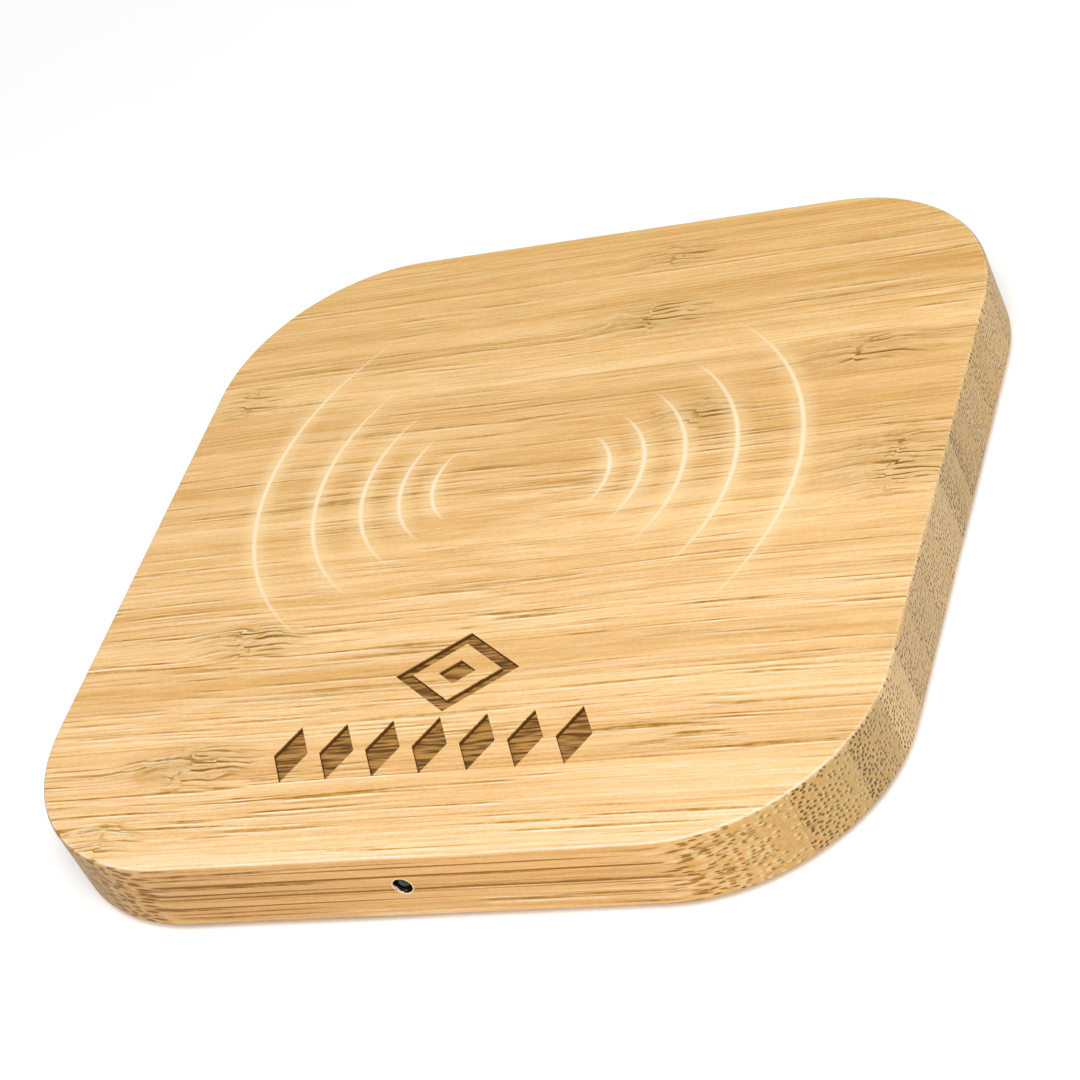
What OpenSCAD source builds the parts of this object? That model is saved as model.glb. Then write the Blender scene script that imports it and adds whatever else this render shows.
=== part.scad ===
// Square wireless charging pad: a laminated bamboo board, routed out from below, with the
// transmitter coil under its top skin and the driver board on a screwed plastic cover.
// Origin: centre of the pad, on the plane its rubber feet stand on. +Z up, +Y towards the inlet.

/* [Bamboo housing] */
// Side of the square pad
pad_w = 100; // [94:1:120]
// Radius of the pad's four corners, seen from above
corner_r = 22; // [20:0.5:26]
// Thickness of the bamboo board
board_h = 9.3; // [9.2:0.1:12]
// Radius that sanding leaves on the top edge
top_ease = 0.4; // [0.2:0.1:1]
// Chamfer on the bottom edge
bottom_chamfer = 0.5; // [0.2:0.1:0.9]
// Bamboo left over the coil
skin_t = 2.5; // [2:0.1:2.6]
// Bamboo left beside the routed cavity
side_wall = 12; // [11.5:0.5:13]
// Corner radius of the routed cavity
cavity_r = 14; // [10:0.5:16]
// Depth of the laser engraving
engrave_depth = 0.5; // [0.2:0.1:0.8]

/* [Engraved ornament] */
// Width of the frieze of small lozenges
frieze_w = 38; // [30:1:48]
// Height of the small lozenges
frieze_h = 8; // [5:0.5:9]
// How many small lozenges
frieze_count = 7; // [3:2:9]
// Distance from the pad's centre to the frieze
frieze_back = 34.5; // [33:0.5:36]
// Width of the large lozenge
emblem_w = 15; // [10:1:20]
// Height of the large lozenge
emblem_h = 11.5; // [8:0.5:12]
// Distance from the pad's centre to the large lozenge
emblem_back = 24; // [22:0.5:24.5]
// Width of the burnt lines
stroke_w = 1.3; // [0.8:0.1:1.5]

/* [Status light] */
// Diameter of the hole in the front wall
light_hole_d = 2.2; // [2:0.1:2.6]
// Height of the hole above the underside of the board
light_h = 4.97; // [4.7:0.01:5.1]
// Clearance round the light pipe
light_gap = 0.1; // [0.05:0.01:0.2]
// How far the light pipe stops short of the front face
light_recess = 0.3; // [0.1:0.1:1]

/* [Base cover] */
// Bamboo rim left round the cover
cover_inset = 6; // [5:0.5:6.5]
// Thickness of the cover's plate
cover_t = 1.5; // [1.4:0.1:1.6]
// Clearance between the cover and its rebate
cover_gap = 0.15; // [0.05:0.05:0.3]
// Thickness of the cover's upright walls and ribs
rib_t = 1.2; // [0.8:0.1:1.6]
// How far the ring under the coil stands inside the ferrite's edge
pedestal_in = 2; // [1:0.5:4]
// How many ribs join the ring to its hub
pedestal_ribs = 6; // [3:1:8]
// Outer radius of the hub inside the ring
hub_r = 8; // [5:0.5:10]
// Height of the four shoulders under the circuit board
shoulder_h = 0.6; // [0.5:0.1:0.8]
// Diameter of the heat-staked pegs
peg_d = 1.8; // [1.4:0.1:2.2]
// Distance of the pegs from the rounded corners of the circuit board
peg_rim = 9.7; // [8.5:0.1:10]

/* [Feet and screws] */
// Diameter of a rubber foot
foot_d = 8; // [6:0.5:9]
// How far the feet stand out below the board
foot_proud = 0.7; // [0.5:0.1:1.2]
// Depth of the pocket that a foot is glued into
foot_pocket = 0.4; // [0.3:0.1:0.6]
// Distance of the feet from the rounded corners of the cover
foot_rim = 11.8; // [11:0.1:13]
// Distance of the screws from the rounded corners of the cover
screw_rim = 3.3; // [2.8:0.1:4]
// Diameter of a screw's shank
screw_d = 2; // [1.6:0.1:2.2]
// Length of a screw, head included
screw_len = 6; // [5:0.5:7]
// Diameter of a screw's countersunk head
screw_head_d = 3.8; // [3.4:0.1:4]

/* [Coil] */
// Diameter of the stranded coil wire
wire_d = 1.1; // [0.8:0.05:1.15]
// Turns in the coil
coil_turns = 10; // [6:1:10]
// Distance from one turn to the next
coil_pitch = 1.17; // [1.16:0.01:1.2]
// Radius of the innermost turn, at the middle of the wire
coil_r = 10.8; // [9:0.2:11]
// Thickness of the ferrite disc
ferrite_t = 1.2; // [1.2:0.05:1.4]
// Radius of the ferrite disc
ferrite_r = 25; // [24.5:0.5:26]
// Thickness of the adhesive tapes
tape_t = 0.1; // [0.05:0.01:0.2]

/* [Circuit board] */
// Thickness of the board
pcb_t = 1; // [0.8:0.1:1.2]
// Space between the circuit board and the cavity wall
pcb_gap = 1.5; // [1:0.1:2]
// Space between the circuit board and the ferrite disc
pcb_hole_gap = 2; // [1.5:0.1:2.5]

/* [Power inlet] */
// Width of the recess that takes the plug's grip
plug_w = 13; // [12.6:0.1:13.6]
// Height of the recess
plug_h = 6.8; // [6.6:0.1:7]
// Corner radius of the recess
plug_r = 2.4; // [1.5:0.1:3]
// Depth of the recess from the back face
plug_depth = 3.5; // [3:0.1:4]
// Outer width of the receptacle shell
usb_w = 8.94; // [8.8:0.01:9.1]
// Outer height of the receptacle shell
usb_h = 3.16; // [3.1:0.01:3.26]
// Length of the receptacle shell
usb_len = 7.35; // [6.8:0.05:8]
// Wall of the receptacle shell
usb_wall = 0.3; // [0.2:0.05:0.35]

/* [Hidden] */
$fn = 64;
eps = 0.01;

// heights, from the feet up
board_z = foot_proud;
cover_z = board_z + cover_t;
top_z = board_z + board_h;
ceiling_z = top_z - skin_t;
pcb_z = cover_z + shoulder_h;
pcb_top = pcb_z + pcb_t;

// heights of the coil stack, from the ceiling of the cavity down
glue = 0.02;
wire_r = wire_d / 2;
coil_z = ceiling_z - tape_t - glue - wire_r;
ferrite_top = coil_z - wire_r - glue;
ferrite_z = ferrite_top - ferrite_t;
pedestal_z = ferrite_z - tape_t;

// plan of the housing
cavity_w = pad_w - 2 * side_wall;
rebate_w = pad_w - 2 * cover_inset;
rebate_r = corner_r - cover_inset;
pcb_w = cavity_w - 2 * pcb_gap;
pcb_r = cavity_r - pcb_gap;
pcb_hole_r = ferrite_r + pcb_hole_gap;
pedestal_r = ferrite_r - pedestal_in;
ring_mid = (pcb_hole_r + pcb_w / 2) / 2;

// places on the diagonals: so far in from a corner of the rebate or of the circuit board
screw_at = rebate_w / 2 - rebate_r + (rebate_r - screw_rim) * sin(45);
foot_at = rebate_w / 2 - rebate_r + (rebate_r - foot_rim) * sin(45);
peg_at = pcb_w / 2 - pcb_r + (pcb_r - peg_rim) * sin(45);

// clearances round the pegs and the receptacle's legs in the circuit board
peg_gap = 0.1;
leg_gap = 0.1;

// power inlet
usb_z = pcb_top + usb_h / 2;
port_y = pad_w / 2 - plug_depth;
port_wall = 1.5;
mouth_y = port_y - cover_gap;
usb_fit = 0.08;
usb_round = usb_h * 0.42;
tab_w = plug_w + 1.2;
tab_top = usb_z + plug_h / 2 + 0.1;
pcb_tab_w = usb_w + 3.4;

// receptacle: insulator block, tongue and contacts
usb_back = mouth_y - usb_len;
usb_block = 2.4;
tongue_w = 6.69;
tongue_t = 0.7;
tongue_tip = mouth_y - 1.2;
contact_count = 12;
contact_pitch = 0.5;
contact_t = 0.1;
contact_back = 0.5;
contact_foot = 0.5;

// coil leads
bend_r = wire_r + glue;
lead_z = coil_z - 2 * bend_r;
lead_out_r = 3;
pad_x = (pcb_hole_r + ring_mid) / 2;
lead_gap = 0.25;
last_r = coil_r + coil_turns * coil_pitch;

// status light
light_z = board_z + light_h;
pipe_r = light_hole_d / 2 - light_gap;
pipe_dome_r = 1.6 * pipe_r;
led_h = 0.6;
led_y = -pcb_w / 2 + 1.4;
pipe_foot = 3;
pipe_foot_z = pcb_top + led_h + 0.1;

// moulded packages: body, span over the leads, pins a side and their pitch
controller_l = 6.5;
controller_w = 4.4;
controller_h = 1.1;
controller_span = 6.4;
controller_pins = 10;
controller_pitch = 0.65;
controller_lead = 0.25;
bridge_l = 4.9;
bridge_w = 3.9;
bridge_h = 1.6;
bridge_span = 6;
bridge_pins = 4;
bridge_pitch = 1.27;
bridge_lead = 0.4;
regulator_l = 2.9;
regulator_w = 1.6;
regulator_h = 1.1;
regulator_span = 2.8;
regulator_pins = 3;
regulator_pitch = 0.95;
regulator_lead = 0.35;

// bodies with plated ends, in three footprints
large_l = 3.2;
large_w = 2.5;
resonant_h = 1.8;
medium_l = 3.2;
medium_w = 1.6;
input_h = 1.6;
sense_h = 0.6;
small_l = 1.6;
small_w = 0.8;
resistor_h = 0.45;
capacitor_h = 0.8;
choke_w = 5;
choke_h = 2.2;

// places round the ring of the board, clockwise from the inlet
bridge_x = 8.5;
bridge_step = 7.5;
resonant_count = 4;
resonant_y = 8;
resonant_step = 3.4;
block_step = 3.2;
row_step = 1.8;
capacitor_rows = 3;
capacitor_y = -6;
front_count = 4;
front_x = 6;
front_step = 2.2;
thermistor_gap = 1.2;
resistor_rows = 4;
resistor_y = -4;
controller_y = 4;
regulator_y = 13;
sense_x = -19;
choke_x = -13;
input_count = 2;
input_x = -4;
input_step = 3;

// Square with rounded corners, centred.
module rounded_square(w, h, r) {
    square([w, h - 2 * r], center = true);
    square([w - 2 * r, h], center = true);
    for (x = [-1, 1], y = [-1, 1])
        translate([x * (w / 2 - r), y * (h / 2 - r)])
            circle(r);
}

// Half section of a board from its middle to its edge: eased above, chamfered below.
module edge_section(reach, h, ease, chamfer) {
    difference() {
        union() {
            square([reach, h - ease]);
            square([reach - ease, h]);
            translate([reach - ease, h - ease])
                circle(ease);
        }
        polygon([[reach - chamfer, -eps], [reach + 1, -eps], [reach + 1, 1 + chamfer],
                 [reach, chamfer], [reach - chamfer, 0]]);
    }
}

// Board with rounded corners: one edge section turned round the corners and run along the sides.
module eased_board(w, r, h, ease, chamfer) {
    run = w - 2 * r;
    translate([-run / 2, -run / 2, 0])
        cube([run, run, h]);
    for (side = [0:3])
        rotate([0, 0, 90 * side]) {
            translate([run / 2, run / 2, 0])
                rotate_extrude(angle = 90)
                    edge_section(r, h, ease, chamfer);
            translate([run / 2, run / 2, 0])
                rotate([90, 0, 0])
                    linear_extrude(run)
                        edge_section(r, h, ease, chamfer);
        }
}

// Copies at the four corners of a square.
module at_corners(d) {
    for (x = [-1, 1], y = [-1, 1])
        translate([x * d, y * d, 0])
            children();
}

module lozenge(w, h) {
    polygon([[w / 2, 0], [0, h / 2], [-w / 2, 0], [0, -h / 2]]);
}

// Lozenge drawn in a line of one width all round.
module lozenge_line(w, h) {
    inset = stroke_w * sqrt(w * w + h * h);
    difference() {
        lozenge(w, h);
        lozenge(w - 2 * inset / h, h - 2 * inset / w);
    }
}

// Plain traditional ornament: a large lozenge over a frieze of small ones.
module ornament() {
    step = frieze_w / (frieze_count - 0.25);
    small_w = step * 0.75;
    translate([0, -emblem_back]) {
        lozenge_line(emblem_w, emblem_h);
        lozenge(emblem_w * 0.3, emblem_h * 0.3);
    }
    for (i = [0:frieze_count - 1])
        translate([(i - (frieze_count - 1) / 2) * step, -frieze_back])
            lozenge(small_w, frieze_h);
}

// The hole for one cover screw, drilled up from below.
module screw_bore(d, depth) {
    translate([0, 0, board_z - eps])
        cylinder(d = d, h = depth + eps);
}

module plug_recess() {
    translate([0, pad_w / 2 + 1, usb_z])
        rotate([90, 0, 0])
            linear_extrude(plug_depth + 1)
                rounded_square(plug_w, plug_h, plug_r);
}

module bamboo_housing() {
    color("burlywood")
        difference() {
            translate([0, 0, board_z])
                eased_board(pad_w, corner_r, board_h, top_ease, bottom_chamfer);
            translate([0, 0, board_z - 1])
                linear_extrude(cover_t + 1)
                    rounded_square(rebate_w, rebate_w, rebate_r);
            translate([0, 0, board_z])
                linear_extrude(ceiling_z - board_z)
                    rounded_square(cavity_w, cavity_w, cavity_r);
            translate([-tab_w / 2, 0, board_z - 1])
                cube([tab_w, port_y, ceiling_z - board_z + 1]);
            translate([-tab_w / 2, mouth_y - port_wall - cover_gap, board_z])
                cube([tab_w, port_wall + 2 * cover_gap, tab_top + cover_gap - board_z]);
            plug_recess();
            translate([0, -pad_w / 2 - 1, light_z])
                rotate([-90, 0, 0])
                    cylinder(d = light_hole_d, h = side_wall + 2);
            at_corners(screw_at)
                screw_bore(screw_d + 2 * glue, screw_len + 0.3);
            translate([0, 0, top_z - engrave_depth])
                linear_extrude(engrave_depth + 1)
                    ornament();
        }
}

// Ring, hub and spokes that press the ferrite and the coil up under the bamboo.
module pedestal() {
    h = pedestal_z - cover_z;
    linear_extrude(h) {
        difference() {
            circle(pedestal_r);
            circle(pedestal_r - rib_t);
        }
        difference() {
            circle(hub_r);
            circle(hub_r - rib_t);
        }
        for (i = [0:pedestal_ribs - 1])
            rotate(360 / pedestal_ribs * (i + 0.5))
                translate([hub_r - rib_t / 2, -rib_t / 2])
                    square([pedestal_r - hub_r, rib_t]);
    }
}

// Shoulder, peg and the head that heat staking leaves on it, turned in one.
module staked_peg() {
    head_r = peg_d * 0.9;
    head_h = peg_d * 0.35;
    cylinder(d = peg_d * 2.2, h = shoulder_h);
    cylinder(d = peg_d, h = shoulder_h + pcb_t + head_h);
    translate([0, 0, shoulder_h + pcb_t])
        cylinder(r1 = head_r, r2 = head_r * 0.6, h = head_h);
}

// Outline of the receptacle shell, in the plane of its mouth.
module usb_outline(grow) {
    rounded_square(usb_w + 2 * grow, usb_h + 2 * grow, usb_round + grow);
}

module base_cover() {
    tab_fit = tab_w - 2 * cover_gap;
    color("dimgray")
        difference() {
            union() {
                translate([0, 0, board_z])
                    linear_extrude(cover_t) {
                        rounded_square(rebate_w - 2 * cover_gap, rebate_w - 2 * cover_gap,
                                       rebate_r - cover_gap);
                        translate([-tab_fit / 2, 0])
                            square([tab_fit, mouth_y]);
                    }
                translate([-tab_fit / 2, mouth_y - port_wall, board_z])
                    cube([tab_fit, port_wall, tab_top - board_z]);
                translate([0, 0, cover_z])
                    pedestal();
                translate([0, 0, cover_z])
                    at_corners(peg_at)
                        staked_peg();
            }
            translate([0, mouth_y + 1, usb_z])
                rotate([90, 0, 0])
                    linear_extrude(port_wall + 2)
                        usb_outline(usb_fit);
            at_corners(foot_at)
                translate([0, 0, board_z - 1])
                    cylinder(d = foot_d + 0.2, h = foot_pocket + 1);
            at_corners(screw_at) {
                screw_bore(screw_d + 0.4, cover_t + 1);
                translate([0, 0, board_z])
                    cylinder(d1 = screw_head_d + 2 * glue, d2 = screw_d + 0.4,
                             h = (screw_head_d - screw_d) / 2);
            }
        }
}

module rubber_feet() {
    foot_round = 0.4;
    foot_h = foot_pocket + foot_proud;
    color("black")
        at_corners(foot_at)
            rotate_extrude() {
                translate([0, foot_round])
                    square([foot_d / 2, foot_h - foot_round]);
                square([foot_d / 2 - foot_round, foot_h]);
                intersection() {
                    translate([foot_d / 2 - foot_round, foot_round])
                        circle(foot_round);
                    square([foot_d / 2, foot_h]);
                }
            }
}

module cover_screws() {
    head_h = (screw_head_d - screw_d) / 2;
    slot_w = 0.5;
    slot_len = screw_head_d * 0.55;
    slot_depth = head_h * 0.8;
    color("silver")
        at_corners(screw_at)
            translate([0, 0, board_z])
                difference() {
                    union() {
                        cylinder(d1 = screw_head_d, d2 = screw_d, h = head_h);
                        cylinder(d = screw_d, h = screw_len - screw_d / 2);
                        translate([0, 0, screw_len - screw_d / 2])
                            cylinder(d1 = screw_d, d2 = screw_d * 0.3, h = screw_d / 2);
                    }
                    for (turn = [45, 135])
                        rotate([0, 0, turn])
                            translate([-slot_len / 2, -slot_w / 2, -1])
                                cube([slot_len, slot_w, slot_depth + 1]);
                }
}

module coil_tape() {
    color("khaki")
        translate([0, 0, ceiling_z - tape_t])
            linear_extrude(tape_t)
                difference() {
                    circle(last_r + wire_r);
                    circle(coil_r - wire_r);
                }
}

// Part of a ring of wire about the vertical axis, from the +X side counter-clockwise.
module wire_arc(r, sweep) {
    rotate_extrude(angle = sweep)
        translate([r, 0])
            circle(wire_r);
}

// Flat spiral of half rings on two centres half a pitch apart, so each one meets the next.
module spiral() {
    for (turn = [0:coil_turns - 1]) {
        r = coil_r + turn * coil_pitch;
        wire_arc(r, 180);
        translate([coil_pitch / 2, 0, 0])
            rotate([0, 0, 180])
                wire_arc(r + coil_pitch / 2, 180);
    }
}

// The inner end dips into the slot in the ferrite and passes under all the turns.
module inner_lead() {
    run = pad_x - bend_r - coil_r - bend_r;
    translate([coil_r, 0, coil_z - bend_r])
        rotate([0, 0, 90])
            rotate([90, 0, 0])
                rotate([0, 0, 90])
                    wire_arc(bend_r, 90);
    translate([coil_r + bend_r, -bend_r, coil_z - bend_r])
        rotate([90, 0, 0])
            rotate([0, 0, 180])
                wire_arc(bend_r, 90);
    translate([coil_r + bend_r, -bend_r, lead_z])
        rotate([0, 90, 0])
            cylinder(r = wire_r, h = run);
    lead_end(-bend_r, lead_z);
}

// The outer end turns away from the coil over the edge of the ferrite.
module outer_lead() {
    run = pad_x - bend_r - last_r - lead_out_r;
    translate([last_r + lead_out_r, 0, coil_z])
        rotate([0, 0, 90])
            wire_arc(lead_out_r, 90);
    translate([last_r + lead_out_r, lead_out_r, coil_z])
        rotate([0, 90, 0])
            cylinder(r = wire_r, h = run);
    lead_end(lead_out_r, coil_z);
}

// Bend down to the circuit board, where the lead is soldered.
module lead_end(y, z) {
    translate([pad_x - bend_r, y, z - bend_r])
        rotate([90, 0, 0])
            wire_arc(bend_r, 90);
    translate([pad_x, y, pcb_top])
        cylinder(r = wire_r, h = z - bend_r - pcb_top);
}

module transmitter_coil() {
    color("peru") {
        translate([0, 0, coil_z])
            spiral();
        inner_lead();
        outer_lead();
    }
}

module ferrite_shield() {
    slot_w = wire_d + 2 * lead_gap;
    slot_from = coil_r - wire_r - lead_gap;
    color("darkslategray")
        translate([0, 0, ferrite_z])
            linear_extrude(ferrite_t)
                difference() {
                    circle(ferrite_r);
                    translate([slot_from, -bend_r - slot_w / 2])
                        square([ferrite_r, slot_w]);
                }
}

module shield_tape() {
    color("khaki")
        translate([0, 0, pedestal_z])
            linear_extrude(tape_t)
                circle(pedestal_r);
}

// The four legs of the receptacle shell, or the slots in the board that take them.
module usb_legs(grow) {
    leg_w = 0.3;
    leg_len = 1.1;
    low = pcb_z - 0.3 - grow;
    for (x = [-1, 1], y = [0.42, 0.84])
        translate([x * (usb_w - leg_w) / 2, mouth_y - usb_len * y, (low + usb_z) / 2])
            cube([leg_w + 2 * grow, leg_len + 2 * grow, usb_z - low], center = true);
}

module circuit_board() {
    tab_end = mouth_y - port_wall - cover_gap;
    color("darkgreen")
        difference() {
            translate([0, 0, pcb_z])
                linear_extrude(pcb_t) {
                    difference() {
                        rounded_square(pcb_w, pcb_w, pcb_r);
                        circle(pcb_hole_r);
                    }
                    translate([-pcb_tab_w / 2, pcb_w / 2 - 1])
                        square([pcb_tab_w, tab_end - pcb_w / 2 + 1]);
                }
            at_corners(peg_at)
                translate([0, 0, pcb_z - 1])
                    cylinder(d = peg_d + 2 * peg_gap, h = pcb_t + 2);
            usb_legs(leg_gap);
        }
}

module coil_solder() {
    color("gainsboro")
        for (y = [-bend_r, lead_out_r])
            translate([pad_x, y, pcb_top])
                difference() {
                    cylinder(r1 = wire_r + 0.5, r2 = wire_r + 0.1, h = 0.7);
                    translate([0, 0, -1])
                        cylinder(r = wire_r + glue, h = 3);
                }
}

module usb_shell() {
    color("silver") {
        translate([0, mouth_y, usb_z])
            rotate([90, 0, 0])
                linear_extrude(usb_len)
                    difference() {
                        usb_outline(0);
                        usb_outline(-usb_wall);
                    }
        difference() {
            usb_legs(0);
            translate([0, mouth_y + 1, usb_z])
                rotate([90, 0, 0])
                    linear_extrude(usb_len + 2)
                        usb_outline(-usb_wall);
        }
    }
}

module usb_insulator() {
    color("black")
        difference() {
            union() {
                translate([0, usb_back + usb_block, usb_z])
                    rotate([90, 0, 0])
                        linear_extrude(usb_block)
                            usb_outline(-usb_wall - glue);
                translate([-tongue_w / 2, usb_back, usb_z - tongue_t / 2])
                    cube([tongue_w, tongue_tip - usb_back, tongue_t]);
            }
            usb_contacts();
        }
}

// One contact, seen from the side: a blade along the tongue, a tail and a foot on the board.
module contact_profile(blade_z, tail_y) {
    tip = tongue_tip - contact_back;
    polygon([
        [tip, blade_z + contact_t], [tip, blade_z], [tail_y + contact_t, blade_z],
        [tail_y + contact_t, pcb_top + contact_t], [tail_y + contact_t, pcb_top],
        [tail_y - contact_foot, pcb_top], [tail_y - contact_foot, pcb_top + contact_t],
        [tail_y, pcb_top + contact_t], [tail_y, blade_z + contact_t]
    ]);
}

module usb_contacts() {
    upper_z = usb_z + tongue_t / 2 - contact_t + glue;
    lower_z = usb_z - tongue_t / 2 - glue;
    color("gold")
        for (i = [0:contact_count - 1])
            translate([(i - contact_count / 2 + 0.25) * contact_pitch, 0, 0])
                rotate([90, 0, 90])
                    linear_extrude(contact_pitch / 2) {
                        contact_profile(upper_z, usb_back - 1.5);
                        contact_profile(lower_z, usb_back - 0.3);
                    }
}

// The clear rod in the front wall, with a foot over the status light and a 45 degree back
// that turns the light forward.
module light_pipe() {
    front = -pad_w / 2 + light_recess;
    foot_from = -cavity_w / 2 + light_gap;
    foot_to = led_y + pipe_foot / 2;
    foot_top = light_z + pipe_r;
    color("lightgray")
        difference() {
            union() {
                intersection() {
                    translate([0, front, light_z])
                        rotate([-90, 0, 0])
                            cylinder(r = pipe_r, h = foot_from - front + eps);
                    translate([0, front + pipe_dome_r, light_z])
                        rotate([-90, 0, 0])
                            translate([0, 0, -pipe_dome_r])
                                dome_bar(pipe_dome_r, side_wall + pipe_dome_r);
                }
                translate([-pipe_foot / 2, foot_from, pipe_foot_z])
                    cube([pipe_foot, foot_to - foot_from, foot_top - pipe_foot_z]);
            }
            translate([0, foot_to, foot_top - pipe_foot / 2])
                rotate([-45, 0, 0])
                    translate([-pipe_foot, -pipe_foot, 0])
                        cube(2 * pipe_foot);
        }
}

// Round bar along +Z that starts as a dome of its own radius.
module dome_bar(r, len) {
    translate([0, 0, r])
        sphere(r);
    translate([0, 0, r])
        cylinder(r = r, h = len);
}

module status_led() {
    color("white")
        translate([0, led_y, pcb_top]) {
            translate([-0.8, -0.4, 0])
                cube([1.6, 0.8, led_h / 2]);
            translate([-0.5, -0.4, 0])
                cube([1, 0.8, led_h]);
        }
}

// Surface-mounted resistor or capacitor: a body between two plated ends.
module chip(l, w, h) {
    plating = 0.03;
    end_l = l * 0.2;
    translate([-l / 2 + plating, -w / 2 + plating, 0])
        cube([l - 2 * plating, w - 2 * plating, h - plating]);
    for (x = [-l / 2, l / 2 - end_l])
        translate([x, -w / 2, 0])
            cube([end_l, w, h]);
}

// Moulded package with gull-wing leads along its two long sides.
module gull_chip(l, w, h, span, pins, pitch, lead_w) {
    stand = 0.1;
    lead_t = 0.15;
    foot = (span - w) / 4;
    mid = stand + (h - stand) / 2;
    translate([-l / 2, -w / 2, stand])
        cube([l, w, h - stand]);
    for (i = [0:pins - 1], side = [-1, 1])
        translate([(i - (pins - 1) / 2) * pitch - side * lead_w / 2, 0, 0])
            rotate([90, 0, side * 90])
                linear_extrude(lead_w)
                    polygon([
                        [w / 2, mid], [w / 2, mid + lead_t], [span / 2 - foot, mid + lead_t],
                        [span / 2 - foot, lead_t], [span / 2, lead_t], [span / 2, 0],
                        [span / 2 - foot - lead_t, 0], [span / 2 - foot - lead_t, mid]
                    ]);
}

// Two columns of small chips, beside the middle of the ring.
module chip_block(rows, h) {
    for (row = [0:rows - 1], side = [-1, 1])
        translate([side * block_step / 2, -row_step * row, 0])
            chip(small_l, small_w, h);
}

// A row of small chips along the front of the ring.
module front_row(from, step, h) {
    for (i = [0:front_count - 1])
        translate([from + step * i, -ring_mid, pcb_top])
            rotate([0, 0, 90])
                chip(small_l, small_w, h);
}

module controller_chip() {
    color("black")
        translate([-ring_mid, controller_y, pcb_top])
            rotate([0, 0, 90])
                gull_chip(controller_l, controller_w, controller_h, controller_span,
                          controller_pins, controller_pitch, controller_lead);
}

module bridge_transistors() {
    color("black")
        for (i = [0:1])
            translate([bridge_x + bridge_step * i, ring_mid, pcb_top])
                rotate([0, 0, 90])
                    gull_chip(bridge_l, bridge_w, bridge_h, bridge_span,
                              bridge_pins, bridge_pitch, bridge_lead);
}

module resonant_capacitors() {
    color("tan")
        for (i = [0:resonant_count - 1])
            translate([ring_mid, resonant_y + resonant_step * i, pcb_top])
                chip(large_l, large_w, resonant_h);
}

module input_capacitors() {
    color("tan")
        for (i = [0:input_count - 1])
            translate([input_x - input_step * i, ring_mid, pcb_top])
                rotate([0, 0, 90])
                    chip(medium_l, medium_w, input_h);
}

module input_choke() {
    groove_depth = 0.3;
    color("dimgray")
        translate([choke_x, ring_mid, pcb_top])
            difference() {
                linear_extrude(choke_h)
                    rounded_square(choke_w, choke_w, choke_w * 0.2);
                translate([0, 0, choke_h - groove_depth])
                    linear_extrude(1)
                        difference() {
                            circle(choke_w * 0.42);
                            circle(choke_w * 0.36);
                        }
            }
}

module voltage_regulator() {
    color("black")
        translate([-ring_mid, regulator_y, pcb_top])
            gull_chip(regulator_l, regulator_w, regulator_h, regulator_span,
                      regulator_pins, regulator_pitch, regulator_lead);
}

module sense_resistor() {
    color("black")
        translate([sense_x, ring_mid, pcb_top])
            rotate([0, 0, 90])
                chip(medium_l, medium_w, sense_h);
}

module chip_resistors() {
    color("black") {
        translate([-ring_mid, resistor_y, pcb_top])
            chip_block(resistor_rows, resistor_h);
        front_row(front_x, front_step, resistor_h);
    }
}

module chip_capacitors() {
    color("tan") {
        translate([ring_mid, capacitor_y, pcb_top])
            chip_block(capacitor_rows, capacitor_h);
        front_row(-front_x, -front_step, capacitor_h);
    }
}

module thermistor() {
    color("dimgray")
        translate([0, -pcb_hole_r - thermistor_gap, pcb_top])
            chip(small_l, small_w, capacitor_h);
}

bamboo_housing();
base_cover();
rubber_feet();
cover_screws();
coil_tape();
transmitter_coil();
ferrite_shield();
shield_tape();
circuit_board();
coil_solder();
usb_shell();
usb_insulator();
usb_contacts();
light_pipe();
status_led();
controller_chip();
bridge_transistors();
resonant_capacitors();
input_capacitors();
input_choke();
voltage_regulator();
sense_resistor();
chip_resistors();
chip_capacitors();
thermistor();
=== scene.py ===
import bpy
import math
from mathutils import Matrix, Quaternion, Vector
from mathutils.bvhtree import BVHTree


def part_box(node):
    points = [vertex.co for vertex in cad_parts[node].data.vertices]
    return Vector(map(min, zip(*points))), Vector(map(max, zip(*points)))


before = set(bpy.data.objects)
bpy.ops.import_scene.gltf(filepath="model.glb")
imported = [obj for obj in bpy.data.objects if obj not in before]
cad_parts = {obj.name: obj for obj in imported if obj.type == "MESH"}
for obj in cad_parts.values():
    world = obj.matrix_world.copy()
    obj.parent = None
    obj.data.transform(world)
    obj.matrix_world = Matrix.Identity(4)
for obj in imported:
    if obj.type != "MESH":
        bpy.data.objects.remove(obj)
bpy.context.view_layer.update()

# ---------------------------------------------------------------- the imported frame
# Everything is in metres in the pad's own frame: origin on the desk under the middle of the pad, front edge
# with the status light towards -Y.
scene = bpy.context.scene
scene.view_settings.view_transform = "Standard"
bpy.ops.object.select_all(action="DESELECT")

# ---------------------------------------------------------------- the photograph's view
# A product shot from the front right and well above, with the camera rolled so that the pad seems to tip
# to the left. The camera was settled from the four edges and the status light below.
photo_w = 1080
photo_h = 1080
camera_place = Vector((0.158902, -0.235111, 0.218048))
camera_aim = Vector((0.004224, -0.004515, 0.010))
camera_roll = math.radians(-27.78)
camera_lens = 105.03
camera_sensor = 36.0

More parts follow.
